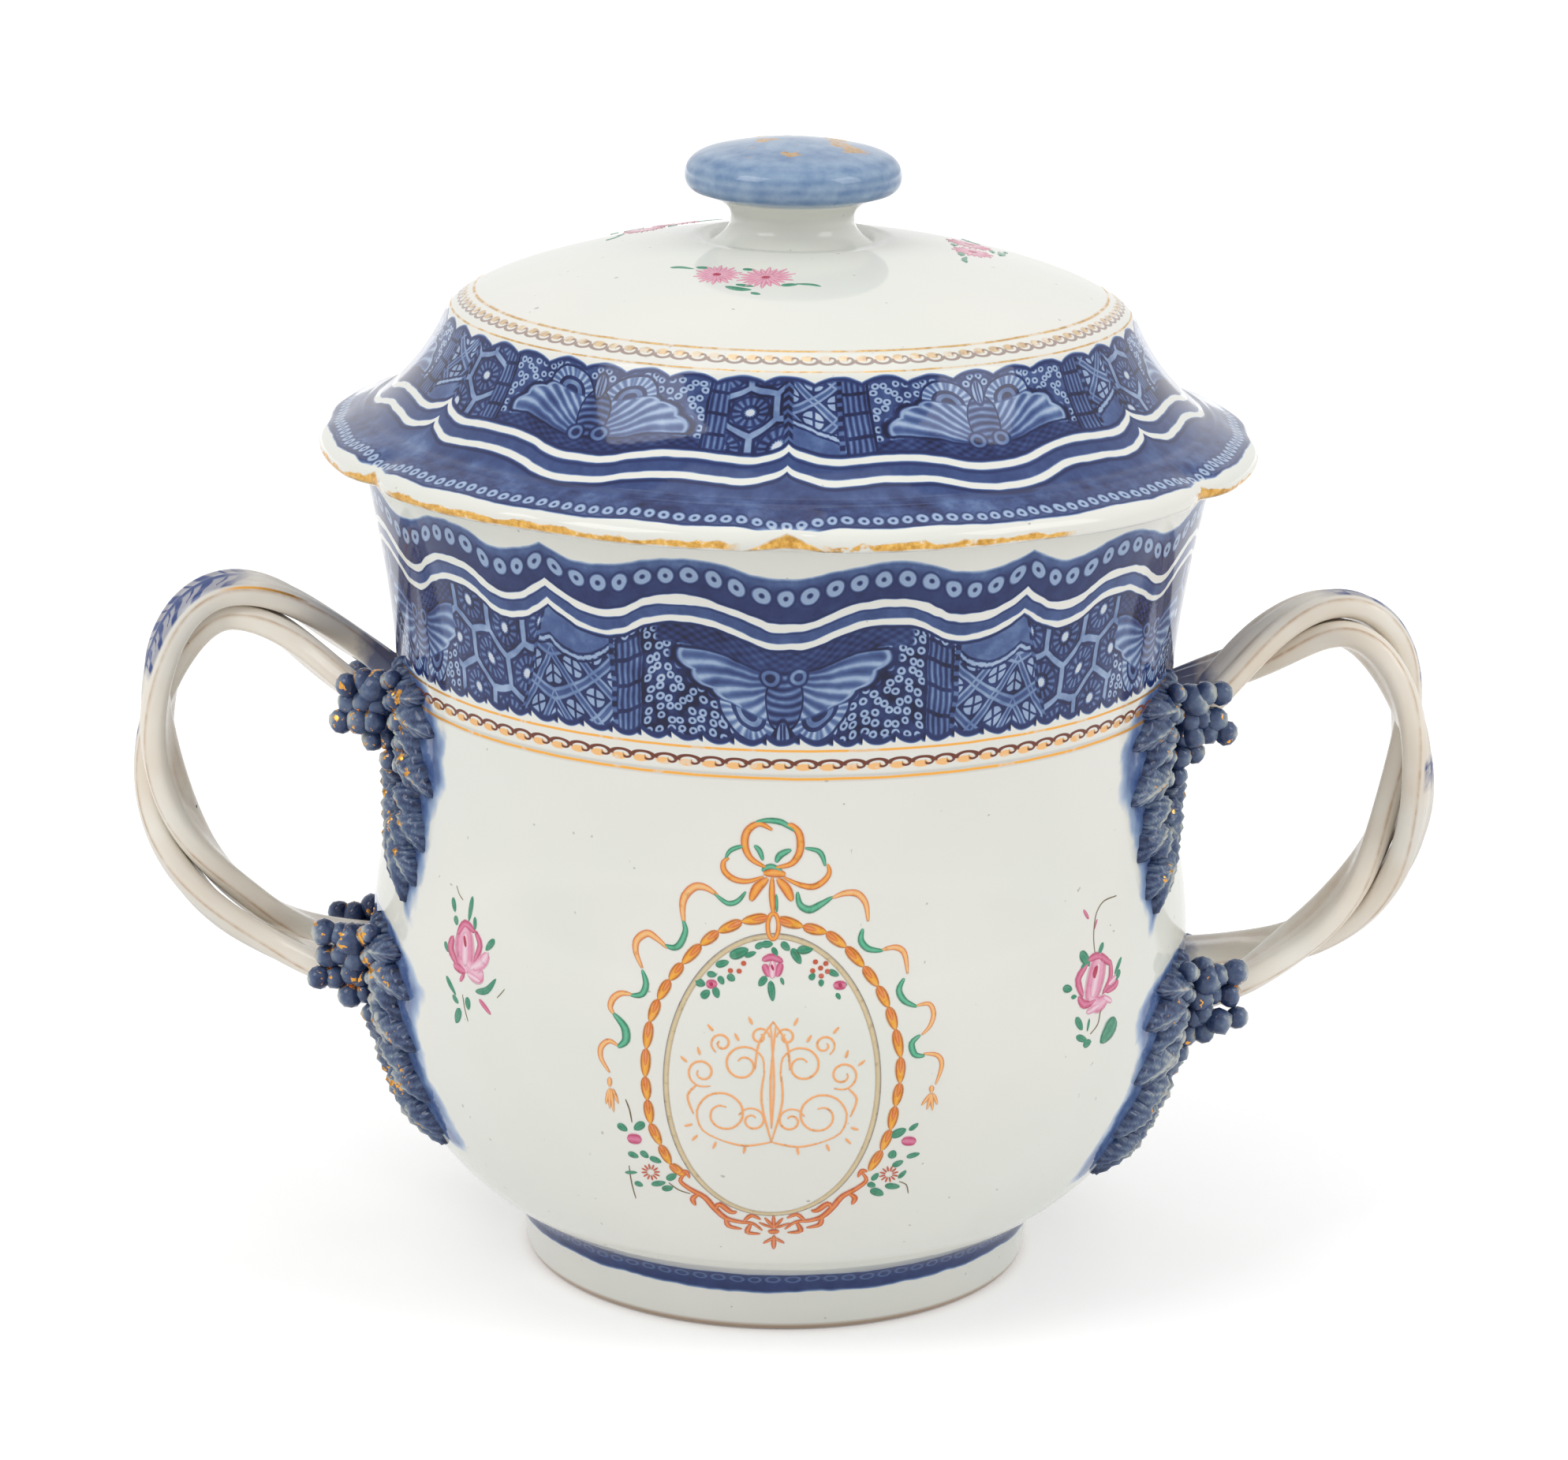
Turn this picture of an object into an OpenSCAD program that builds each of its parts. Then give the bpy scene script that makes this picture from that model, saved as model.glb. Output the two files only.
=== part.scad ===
// Two-handled covered cup of porcelain: a bellied cup on a foot ring and a loose domed cover.
// The origin is on the table at the middle of the foot, +Z is up, +X runs out along one handle.
// All sizes are in millimetres. Both handles and the eight relief sprigs are fired to the cup.

/* [Cup body] */
// Height of the cup from the table to its lip
cup_height = 102.5; // [94:0.5:112]
// Outer radius of the cup at its lip
lip_radius = 51.5; // [48:0.1:54]
// Outer radius of the cup at its narrow waist
waist_radius = 47.3; // [45:0.1:50]
// Height of the waist above the table
waist_height = 69; // [62:0.5:76]
// Outer radius of the cup at its belly
belly_radius = 50.5; // [48:0.1:54]
// Height of the fullest part of the belly
belly_height = 42.5; // [38:0.5:50]
// Thickness of the cup's wall
wall = 3; // [2.4:0.1:3.6]
// Thickness of the cup's floor above the recess in the foot
floor_thickness = 3.6; // [2.8:0.1:5]
// Width of the bare flat on top of the lip
lip_flat = 1.4; // [1:0.1:1.8]

/* [Foot ring] */
// Height at which the belly springs from the foot ring
foot_height = 7.7; // [6.5:0.1:9]
// Outer radius of the foot ring where the belly springs from it
foot_radius = 32.7; // [30:0.1:36]
// How much the foot ring draws in towards the table
foot_taper = 1.4; // [0.4:0.1:2.4]
// Width of the ring that stands on the table
foot_width = 3.2; // [2.6:0.1:4.5]
// Depth of the recess inside the foot ring
foot_recess = 4.9; // [4.4:0.1:5.4]

/* [Cover] */
// Radius of the cover's flange over its lobes
flange_radius = 56.9; // [55:0.1:60]
// Thickness of the flange at its edge
flange_thickness = 2.8; // [2.4:0.1:3.4]
// Height of the flange's inner edge, at the cover's wall, above its flat underside
flange_rise = 4.4; // [3.6:0.1:5.2]
// Number of lobes round the flange
flange_lobes = 6; // [4:1:9]
// Depth of the notch between two lobes
notch_depth = 1.4; // [0.6:0.1:1.8]
// Depth of the shallow dip in the middle of a lobe
dip_depth = 0.5; // [0.2:0.1:0.8]
// Radius of the cover's wall where it meets the flange
cover_wall_radius = 51; // [50:0.1:52.4]
// Radius of the shoulder between the cover's wall and its top
shoulder_radius = 41.2; // [38:0.1:43]
// Height of the shoulder above the flange's flat underside
shoulder_rise = 17; // [15.5:0.1:19]
// Height of the top of the dome above the shoulder
crown_rise = 9.6; // [7.5:0.1:10.5]
// Thickness of the cover's dome
cover_wall = 3; // [2.4:0.1:3.6]
// Depth of the ring under the cover that drops into the cup's mouth
locating_depth = 5; // [4:0.1:7]
// Thickness of that ring
locating_thickness = 2.4; // [2:0.1:3]
// Clearance all round between that ring and the cup's mouth
locating_clearance = 0.8; // [0.4:0.1:1.2]

/* [Knob] */
// Radius of the knob's neck
neck_radius = 7.4; // [6:0.1:9]
// Radius of the knob's head
head_radius = 13; // [11:0.1:16]
// Height of the knob above the top of the dome
knob_rise = 10.9; // [9:0.1:14]
// Thickness of the knob's head at its edge
head_edge = 4; // [3:0.1:5]

/* [Handles] */
// Distance from the cup's axis to the middle of a handle at its farthest
handle_reach = 77.3; // [72:0.1:82]
// Height of a handle's crown above the table
crown_height = 82; // [76:0.5:88]
// Distance from the cup's axis to a handle's crown
crown_reach = 67.5; // [63:0.5:70]
// Height at which a handle stands farthest out
reach_height = 64; // [58:0.5:68]
// Height of the upper strap ends on the wall
upper_root_height = 69; // [65:0.5:74]
// Height of the lower strap ends on the wall
lower_root_height = 35.5; // [32:0.5:42]
// Width of a strap, front to back
strap_width = 6; // [4.5:0.1:7.5]
// Thickness of a strap
strap_thickness = 3.8; // [3:0.1:4.6]
// Depth of the grooves pressed along a strap
reed_depth = 0.35; // [0.2:0.05:0.6]
// Distance from the middle plane to a strap's end on the wall
root_spread = 8.5; // [7:0.1:10]

/* [Relief sprigs] */
// Angle between a handle's plane and the top of a sprig
sprig_angle = 17; // [15:0.5:20]
// Height of a sprig's top above the middle of the strap end it covers
sprig_rise = 9; // [8:0.5:10]
// Length of a sprig down the wall
sprig_length = 28; // [25:0.5:30]
// How far a sprig's point stands forward of its top, along the wall
sprig_lean = 8.5; // [6:0.5:10]
// How much lower the lower sprigs sit at the right handle than at the left
sprig_stagger = 3; // [0:0.5:4]
// Radius of the largest berry
berry_radius = 1.5; // [1.3:0.05:1.7]
// Length of the largest leaf
leaf_length = 10; // [8:0.1:11]
// Width of the largest leaf
leaf_width = 4.6; // [3.6:0.1:5.2]
// Height of a leaf's midrib above the wall
leaf_proud = 2.2; // [1.4:0.1:2.6]

/* [Hidden] */
curve_steps = 14;
strap_steps = 31;
flange_steps = 20;
porcelain = [0.93, 0.94, 0.93];
strap_colour = [0.88, 0.86, 0.82];
relief_colour = [0.32, 0.40, 0.62];
border_colour = [0.28, 0.36, 0.60];
mouth_radius = lip_radius - wall;
cover_height = shoulder_rise + crown_rise;
knob_top = cover_height + knob_rise;
head_height = knob_top - 1.05 * head_edge;

// A point a share t along a curve from a to d that leaves towards b and arrives from c.
function curve(a, b, c, d, t) =
    pow(1 - t, 3) * a + 3 * t * pow(1 - t, 2) * b + 3 * t * t * (1 - t) * c + pow(t, 3) * d;
function curve_points(a, b, c, d, n) = [for (i = [1 : n]) curve(a, b, c, d, i / n)];

// The cup's outside from the foot to the lip, as radius and height.
foot_point = [foot_radius, foot_height];
belly_point = [belly_radius, belly_height];
waist_point = [waist_radius, waist_height];
lip_point = [lip_radius, cup_height];
belly_swing = belly_height - foot_height;
waist_swing = waist_height - belly_height;
lip_swing = cup_height - waist_height;
outside = concat(
    [foot_point],
    curve_points(
        foot_point,
        foot_point + [0.6 * (belly_radius - foot_radius), 0.17 * belly_swing],
        belly_point - [0, 0.53 * belly_swing],
        belly_point,
        curve_steps),
    curve_points(
        belly_point,
        belly_point + [0, 0.38 * waist_swing],
        waist_point - [0, 0.42 * waist_swing],
        waist_point,
        curve_steps),
    curve_points(
        waist_point,
        waist_point + [0, 0.35 * lip_swing],
        lip_point - [0.2 * lip_swing * 0.34, 0.34 * lip_swing],
        lip_point,
        curve_steps));
last = len(outside) - 1;

// The outward direction of the wall at one of its points.
function unit(v) = v / norm(v);
function wall_normal(p, i) =
    let (d = unit(p[min(i + 1, len(p) - 1)] - p[max(i - 1, 0)]))
    [d.y, -d.x];
inside = [for (i = [0 : last]) outside[i] - wall * wall_normal(outside, i)];
floor_height = foot_recess + floor_thickness;
cavity = [for (p = inside) if (p.y > floor_height + 1.5) p];

// Distance up the wall from the foot to each of its points, for placing the relief.
function lengths(p, i = 0, s = 0) =
    i == len(p) ? [] : concat([s], lengths(p, i + 1, i + 1 < len(p) ? s + norm(p[i + 1] - p[i]) : s));
way = lengths(outside);
radius_by_way = [for (i = [0 : last]) [way[i], outside[i].x]];
height_by_way = [for (i = [0 : last]) [way[i], outside[i].y]];
way_by_height = [for (i = [0 : last]) [outside[i].y, way[i]]];

// A point in space beside a sprig: u along the wall, v up the wall from the foot, h out of the wall.
function on_wall(u, v, h) =
    let (r = lookup(v, radius_by_way))
    let (z = lookup(v, height_by_way))
    let (slope = unit([lookup(v + 0.5, radius_by_way), lookup(v + 0.5, height_by_way)]
        - [lookup(v - 0.5, radius_by_way), lookup(v - 0.5, height_by_way)]))
    let (a = u / r * 180 / PI - sprig_angle)
    let (q = r + h * slope.y)
    [q * cos(a), q * sin(a), z - h * slope.x];

// The cup's wall, floor and mouth, thrown in one.
module bowl() {
    color(porcelain)
    rotate_extrude($fn = 144)
    difference() {
        polygon(concat([[0, foot_height - 0.5], [foot_radius - 1, foot_height - 0.5]], outside, [
            [lip_radius - 0.5 * (wall - lip_flat), cup_height],
            [0, cup_height]]));
        polygon(concat(
            [
                [0, floor_height],
                [cavity[0].x - 1.33 * wall, floor_height],
                [cavity[0].x - 0.4 * wall, floor_height + 0.17 * wall]],
            cavity,
            [[mouth_radius + 0.5 * (wall - lip_flat), cup_height + 0.01], [0, cup_height + 0.01]]));
        square([foot_radius - foot_taper - foot_width, foot_recess]);
    }
}

// The turned ring the cup stands on, with its edges eased.
module foot_ring() {
    base_radius = foot_radius - foot_taper;
    color(porcelain)
    rotate_extrude($fn = 144)
    polygon([
        [base_radius - foot_width, foot_recess + 1],
        [base_radius - foot_width, 0.8],
        [base_radius - foot_width + 0.8, 0],
        [base_radius - 1, 0],
        [base_radius, 1.2],
        [foot_radius - 0.3, foot_height - 1.5],
        foot_point,
        [foot_radius, foot_height + 0.4],
        [base_radius - foot_width, foot_height + 0.4]]);
}

// The middle line of a pair of straps, from its upper to its lower end on the wall.
upper_root = [lookup(lookup(upper_root_height, way_by_height), radius_by_way) - 1.9, upper_root_height];
lower_root = [lookup(lookup(lower_root_height, way_by_height), radius_by_way) - 2.1, lower_root_height];
crown = [crown_reach, crown_height];
far_point = [handle_reach, reach_height];
handle_line = concat(
    [upper_root],
    curve_points(
        upper_root,
        upper_root + [0.4 * (crown_reach - upper_root.x), 0.36 * (crown_height - upper_root_height)],
        crown - [0.3 * (crown_reach - upper_root.x), 0],
        crown,
        floor(strap_steps * 0.29)),
    curve_points(
        crown,
        crown + [0.6 * (handle_reach - crown_reach), 0],
        far_point + [0, 0.56 * (crown_height - reach_height)],
        far_point,
        floor(strap_steps * 0.23)),
    curve_points(
        far_point,
        far_point - [0, 0.63 * (reach_height - lower_root_height)],
        lower_root + [0.57 * (handle_reach - lower_root.x), 0.07 * (reach_height - lower_root_height)],
        lower_root,
        floor(strap_steps * 0.48)));
line_end = len(handle_line) - 1;
line_way = lengths(handle_line);

// One strap's section, thick along x and wide along y, with grooves pressed in its broad faces.
half_thick = strap_thickness / 2;
half_wide = strap_width / 2;
strap_section = [
    [half_thick - 0.15, -half_wide * 0.66],
    [half_thick - reed_depth, -half_wide * 0.33],
    [half_thick, 0],
    [half_thick - reed_depth, half_wide * 0.33],
    [half_thick - 0.15, half_wide * 0.66],
    [half_thick * 0.4, half_wide],
    [-half_thick * 0.4, half_wide],
    [-half_thick + 0.1, half_wide * 0.66],
    [-half_thick + reed_depth * 1.6, 0],
    [-half_thick + 0.1, -half_wide * 0.66],
    [-half_thick * 0.4, -half_wide],
    [half_thick * 0.4, -half_wide]];

// How far the twist has gone at a share s of the handle, in degrees.
function twist(s) = 360 * min(max((s - 0.03) / 0.86, 0), 1);
// Half the gap between the two straps' middles, wide at the wall and close in the middle.
function spread(s) =
    let (near = max(0, 1 - s / 0.24, 1 - (1 - s) / 0.2))
    0.49 * strap_width + (root_spread - 0.49 * strap_width) * near * near * (3 - 2 * near);
// One ring of a strap's skin; side is 1 for the strap that starts in front and -1 for the other.
function strap_ring(i, side) =
    let (s = line_way[i] / line_way[line_end])
    let (out = -wall_normal(handle_line, i))
    let (turn = -22 * sin(2 * twist(s)))
    let (along = side * 0.45 * strap_thickness * sin(twist(s)))
    let (across = -side * spread(s) * cos(twist(s)))
    [for (q = strap_section)
        let (x = q.x * cos(turn) - q.y * sin(turn) + along)
        let (y = q.x * sin(turn) + q.y * cos(turn) + across)
        [handle_line[i].x + x * out.x, y, handle_line[i].y + x * out.y]];

// A closed skin through a row of rings that have the same number of points.
module skin(rings) {
    n = len(rings[0]);
    m = len(rings);
    polyhedron(
        points = [for (r = rings) for (p = r) p],
        faces = concat(
            [[for (j = [n - 1 : -1 : 0]) j]],
            [for (i = [0 : m - 2]) for (j = [0 : n - 1])
                [i * n + j, (i + 1) * n + (j + 1) % n, (i + 1) * n + j]],
            [for (i = [0 : m - 2]) for (j = [0 : n - 1])
                [i * n + j, i * n + (j + 1) % n, (i + 1) * n + (j + 1) % n]],
            [[for (j = [0 : n - 1]) (m - 1) * n + j]]));
}

// Two straps wound once round each other, joined to the wall at both ends.
module handle() {
    color(strap_colour)
    for (side = [1, -1])
        skin([for (i = [0 : line_end]) strap_ring(i, side)]);
}

// One pointed leaf with a raised midrib, rooted in the wall at u, v and leaning by an angle.
module leaf(u, v, length, width, lean) {
    skin([for (s = [0.03, 0.35, 0.7, 0.99])
        let (w = width * (0.5 * sin(180 * pow(s, 0.8)) + 0.026))
        let (top = leaf_proud * (0.18 + 0.82 * sin(180 * pow(s, 0.6))))
        let (low = -0.55 * leaf_proud)
        [for (q = [[-1, low], [-1, top * 0.45], [0, top], [1, top * 0.45], [1, low]])
            on_wall(
                u + length * s * sin(lean) + q.x * w * cos(lean),
                v - length * s * cos(lean) + q.x * w * sin(lean),
                q.y)]]);
}

// A bunch of berries beside a strap's end with leaves fanning forward and down to a point below it.
module sprig(top_height) {
    top = lookup(top_height, way_by_height);
    end_leaf = 0.9 * leaf_length;
    color(relief_colour)
    union() {
        for (row = [0 : 4])
            for (k = [0 : row < 3 ? 2 : 4 - row])
                translate(on_wall(
                    berry_radius * (1.6 + 0.47 * k),
                    top - berry_radius * (1.73 + 1.67 * row),
                    berry_radius * (2 - 0.2 * row + 1.33 * k + (row == 2 ? 1.07 : 0))))
                sphere(berry_radius * (1.12 - 0.03 * row), $fn = 6);
        for (row = [0 : 2]) {
            leaf(
                sprig_middle(0.17 + 0.22 * row),
                top - sprig_length * (0.17 + 0.22 * row),
                leaf_length * (1 - 0.15 * row),
                leaf_width * (1 - 0.1 * row),
                9 * row - 78);
            leaf(
                sprig_middle(0.43 + 0.11 * row) + leaf_length * (0.66 - 0.165 * row),
                top - sprig_length * (0.43 + 0.11 * row),
                0.85 * leaf_length,
                0.85 * leaf_width,
                8 - 10 * row);
        }
        for (lean = [-150, -190])
            leaf(
                0.08 * leaf_length,
                top - 0.17 * sprig_length,
                0.55 * leaf_length,
                0.75 * leaf_width,
                lean);
        leaf(
            sprig_middle(1) + end_leaf * sin(28),
            top - sprig_length + end_leaf * cos(28),
            end_leaf,
            0.85 * leaf_width,
            -28);
    }
}

// The middle of a sprig at a share of its way down, as a distance along the wall.
function sprig_middle(share) = 0.1 * leaf_length - sprig_lean * share;

// The four sprigs of one handle, mirrored front to back.
module sprig_set(lower_shift) {
    for (flip = [0, 1])
        mirror([0, flip, 0]) {
            sprig(upper_root_height + sprig_rise);
            sprig(lower_root_height + sprig_rise + lower_shift);
        }
}

// Both handles with their sprigs; the resize call keeps the size and joins them into one skin.
module handles_and_relief() {
    resize([0, 0, 0])
    for (turn = [0, 180])
        rotate([0, 0, turn]) {
            handle();
            sprig_set((turn > 0 ? 0.5 : -0.5) * sprig_stagger);
        }
}

// The cup as it is fired: body, foot ring, handles and relief in one.
module cup() {
    union() {
        bowl();
        foot_ring();
        handles_and_relief();
    }
}

// The cover's outside from the flange to the shoulder and up to the neck, as radius and rise.
wall_foot = [cover_wall_radius, flange_rise];
wall_climb = shoulder_rise - flange_rise;
shoulder = [shoulder_radius, shoulder_rise];
cover_outside = concat(
    [wall_foot],
    curve_points(
        wall_foot,
        wall_foot + [-0.45, 0.32] * wall_climb,
        shoulder + [0.13, -0.3] * wall_climb,
        shoulder,
        curve_steps),
    curve_points(
        shoulder,
        shoulder + [-0.34, 0.4] * crown_rise,
        [0.5 * shoulder_radius, cover_height - 0.14 * crown_rise],
        [0.5 * neck_radius, cover_height],
        curve_steps));
cover_last = len(cover_outside) - 1;
cover_inside = [for (i = [0 : cover_last])
    cover_outside[i] - cover_wall * wall_normal(cover_outside, i)];
locating_radius = mouth_radius - locating_clearance;

// The inside radius of the cup's mouth at a distance below its lip.
function mouth_below(drop) = lookup(cup_height - drop, [for (p = cavity) [p.y, p.x]]);

// The dome with the ring under it that drops into the cup's mouth.
module dome() {
    inner_radius = locating_radius - locating_thickness;
    low_radius = mouth_below(locating_depth) - locating_clearance;
    hollow = [for (p = cover_inside) if (p.x < inner_radius - 0.4) p];
    color(porcelain)
    rotate_extrude($fn = 144)
    polygon(concat(
        [[0, cover_height - cover_wall], [0, cover_height]],
        [for (i = [cover_last : -1 : 0]) cover_outside[i]],
        [
            [cover_wall_radius - 0.6, flange_thickness * 0.5],
            [locating_radius, flange_thickness * 0.5],
            [low_radius, 0.8 - locating_depth],
            [low_radius - 0.8, -locating_depth],
            [low_radius + 0.6 - locating_thickness, -locating_depth],
            [low_radius - locating_thickness, 0.6 - locating_depth],
            [inner_radius, hollow[0].y - 2]],
        hollow));
}

// Radius of the flange's edge at an angle from the front: notches between lobes, a dip in each lobe.
function lobe_edge(a) =
    let (pitch = 360 / flange_lobes)
    let (off = abs(a - pitch * round(a / pitch)))
    flange_radius
        - notch_depth * exp(-pow(off / 3.6, 2))
        - dip_depth * exp(-pow((pitch / 2 - off) / 5, 2));

// The lobed flange that rests on the cup's lip, with a rounded edge.
module flange() {
    edge = [
        [-1.4, 0], [-0.45, 0.3], [-0.04, 0.95], [-0.1, flange_thickness * 0.6], [-0.5, flange_thickness * 0.82],
        [-1.2, flange_thickness], [-2.2, flange_thickness + 0.35]];
    count = flange_lobes * flange_steps;
    inner = locating_radius - 1;
    ring = len(edge) + 3;
    points = [for (i = [0 : count - 1])
        let (a = 360 * (i + 0.5) / count)
        let (r = lobe_edge(a))
        for (q = concat(
            [[inner, 0]],
            [for (e = edge) [r + e.x, e.y]],
            [[cover_wall_radius + 0.7, flange_rise - 0.1], [inner, flange_rise + 1.2]]))
            [q.x * sin(a), -q.x * cos(a), q.y]];
    color(border_colour)
    polyhedron(
        points = points,
        faces = concat(
            [for (i = [0 : count - 1]) for (j = [0 : ring - 1])
                [i * ring + j, ((i + 1) % count) * ring + (j + 1) % ring, ((i + 1) % count) * ring + j]],
            [for (i = [0 : count - 1]) for (j = [0 : ring - 1])
                [i * ring + j, i * ring + (j + 1) % ring, ((i + 1) % count) * ring + (j + 1) % ring]]));
}

// The mushroom knob on its neck.
module knob() {
    neck = [neck_radius, cover_height + 0.8];
    neck_foot = [neck_radius + 2.4, cover_height - 1.6];
    under = [head_radius - 0.9, head_height - 0.5 * head_edge];
    side = [head_radius, head_height];
    corner = [0.91 * head_radius, knob_top - 0.45 * head_edge];
    brow = [0.74 * head_radius, knob_top - 0.325 * head_edge];
    crest = [0, knob_top];
    color(border_colour)
    rotate_extrude($fn = 96)
    polygon(concat(
        [[0, neck_foot.y], neck_foot],
        curve_points(neck_foot, neck_foot + [-1.4, 0.9], neck - [0, 0.8], neck + [0, 0.8], 6),
        curve_points(neck + [0, 0.8], neck + [0, 2.2], under - [3, 0.9], under, 6),
        curve_points(under, under + [0.8, 0.5], side - [0, 0.8], side, 4),
        curve_points(side, side + [0, 0.35 * head_edge], corner, brow, 6),
        curve_points(brow, [0.46 * head_radius, knob_top - 0.125 * head_edge], crest + [3, -0.1], crest, 6)));
}

// The loose cover, set on the cup's lip.
module cover() {
    translate([0, 0, cup_height])
    union() {
        dome();
        flange();
        knob();
    }
}

cup();
cover();
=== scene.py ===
import bisect
import math
import random

import bmesh
import bpy
from mathutils import Matrix, Vector, noise


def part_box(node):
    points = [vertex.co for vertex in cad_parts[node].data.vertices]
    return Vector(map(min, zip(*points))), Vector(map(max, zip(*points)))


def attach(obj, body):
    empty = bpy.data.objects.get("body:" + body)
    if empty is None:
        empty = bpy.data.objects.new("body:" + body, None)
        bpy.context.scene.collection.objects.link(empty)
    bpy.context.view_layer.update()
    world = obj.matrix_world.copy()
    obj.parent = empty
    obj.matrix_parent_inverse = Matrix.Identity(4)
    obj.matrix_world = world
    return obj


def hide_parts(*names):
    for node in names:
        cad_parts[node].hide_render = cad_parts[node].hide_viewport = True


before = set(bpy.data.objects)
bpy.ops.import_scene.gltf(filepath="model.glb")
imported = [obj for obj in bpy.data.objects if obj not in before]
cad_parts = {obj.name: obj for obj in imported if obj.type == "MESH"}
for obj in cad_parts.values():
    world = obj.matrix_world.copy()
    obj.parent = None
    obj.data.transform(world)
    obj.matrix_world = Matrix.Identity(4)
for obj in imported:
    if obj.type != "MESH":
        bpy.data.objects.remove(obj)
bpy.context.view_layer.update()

# The cup's body: a bowl thrown in hard-paste porcelain with a bellied wall and a turned foot ring,
# glazed inside and out except the foot's edge. Its deep blue border is brushed under the glaze and
# the thin gilt lines and wave scroll are fired on over it.
MM = 0.001
_, cup_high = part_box("cup")
cup_height = round(cup_high.z / MM, 1)
lip_radius = 51.5
waist = Vector((47.3, 69))
belly = Vector((50.5, 42.5))
foot = Vector((32.7, 7.7))
wall = 3
foot_base = 31.3
foot_width = 3.2
foot_recess = 4.9
floor_height = 8.5
spin_steps = 360


def curve(a, b, c, d, t):
    return a * (1 - t) ** 3 + 3 * b * t * (1 - t) ** 2 + 3 * c * t * t * (1 - t) + d * t ** 3


def curve_points(a, b, c, d, count):
    return [curve(a, b, c, d, (i + 1) / count) for i in range(count)]


def offset_inward(points, distance):
    moved = []
    for i, point in enumerate(points):
        along = (points[min(i + 1, len(points) - 1)] - points[max(i - 1, 0)]).normalized()
        moved.append(point - distance * Vector((along.y, -along.x)))
    return moved


lip = Vector((lip_radius, cup_height))
belly_swing = belly.y - foot.y
waist_swing = waist.y - belly.y
lip_swing = lip.y - waist.y
cup_outside = [foot]
cup_outside += curve_points(
    foot,
    foot + Vector((0.6 * (belly.x - foot.x), 0.17 * belly_swing)),
    belly - Vector((0, 0.53 * belly_swing)),
    belly,
    44)
cup_outside += curve_points(
    belly,
    belly + Vector((0, 0.38 * waist_swing)),
    waist - Vector((0, 0.42 * waist_swing)),
    waist,
    24)
cup_outside += curve_points(
    waist,
    waist + Vector((0, 0.35 * lip_swing)),
    lip - Vector((0.2 * lip_swing * 0.34, 0.34 * lip_swing)),
    lip - Vector((0, 0.9)),
    34)


def rounded(points, corner_steps=4):
    """Eases each corner that carries a radius; the others stay as they are."""
    eased = []
    for i, (x, y, radius) in enumerate(points):
        here = Vector((x, y))
        if radius == 0:
            eased.append(here)
            continue
        back = (Vector(points[i - 1][:2]) - here).normalized() * radius
        ahead = (Vector(points[i + 1][:2]) - here).normalized() * radius
        for step in range(corner_steps + 1):
            t = step / corner_steps
            eased.append(here + back * (1 - t) ** 2 + ahead * t * t)
    return eased


def spun(profile, steps=spin_steps):
    """Throws a profile of radius and height round the upright axis, as on a wheel."""
    form = bmesh.new()
    row = [form.verts.new((p.x, 0, p.y)) for p in profile]
    edges = [form.edges.new(pair) for pair in zip(row, row[1:])]
    bmesh.ops.spin(
        form, geom=row + edges, cent=(0, 0, 0), axis=(0, 0, 1), angle=2 * math.pi,
        steps=steps, use_merge=True)
    bmesh.ops.remove_doubles(form, verts=form.verts, dist=0.0005)
    bmesh.ops.recalc_face_normals(form, faces=form.faces)
    return form


def fired(form, name, material, node):
    """Turns a form in millimetres into a smooth piece in place of its solid."""
    bmesh.ops.scale(form, vec=(MM, MM, MM), verts=form.verts)
    mesh = bpy.data.meshes.new(name)
    form.to_mesh(mesh)
    form.free()
    mesh.shade_smooth()
    mesh.materials.append(material)
    piece = bpy.data.objects.new(name, mesh)
    bpy.context.collection.objects.link(piece)
    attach(piece, "root")
    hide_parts(node)


cup_inside = [p for p in offset_inward(cup_outside, wall) if p.y > floor_height + 1.5]
cup_inside = cup_inside[::2] + [cup_inside[-1]]
base = [Vector((0, foot_recess))]
base += rounded([
    (foot_base - foot_width - 0.01, foot_recess, 0),
    (foot_base - foot_width, foot_recess - 0.6, 0),
    (foot_base - foot_width, 0.9, 0),
    (foot_base - foot_width, 0, 0.75),
    (foot_base, 0, 0.95),
    (foot.x - 0.35, foot.y - 1.5, 0)])
rim = rounded([
    (lip.x, lip.y - 0.9, 0),
    (lip.x, lip.y, 0.85),
    (lip.x - wall, lip.y, 0.85),
    (lip.x - wall, lip.y - 0.95, 0)])
well = [
    cup_inside[0] + Vector((-0.9, -0.55)),
    Vector((cup_inside[0].x - 2.4, floor_height + 0.25)),
    Vector((cup_inside[0].x - 4.5, floor_height)),
    Vector((12, floor_height)),
    Vector((0, floor_height))]
cup_profile = base + cup_outside + rim[1:] + cup_inside[::-1] + well


def srgb(red, green, blue):
    """A colour as a painter would name it on a screen, 0 to 255, as the light it gives."""
    def light(c):
        c = c / 255
        return c / 12.92 if c <= 0.04045 else ((c + 0.055) / 1.055) ** 2.4
    return (light(red), light(green), light(blue), 1)


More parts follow.
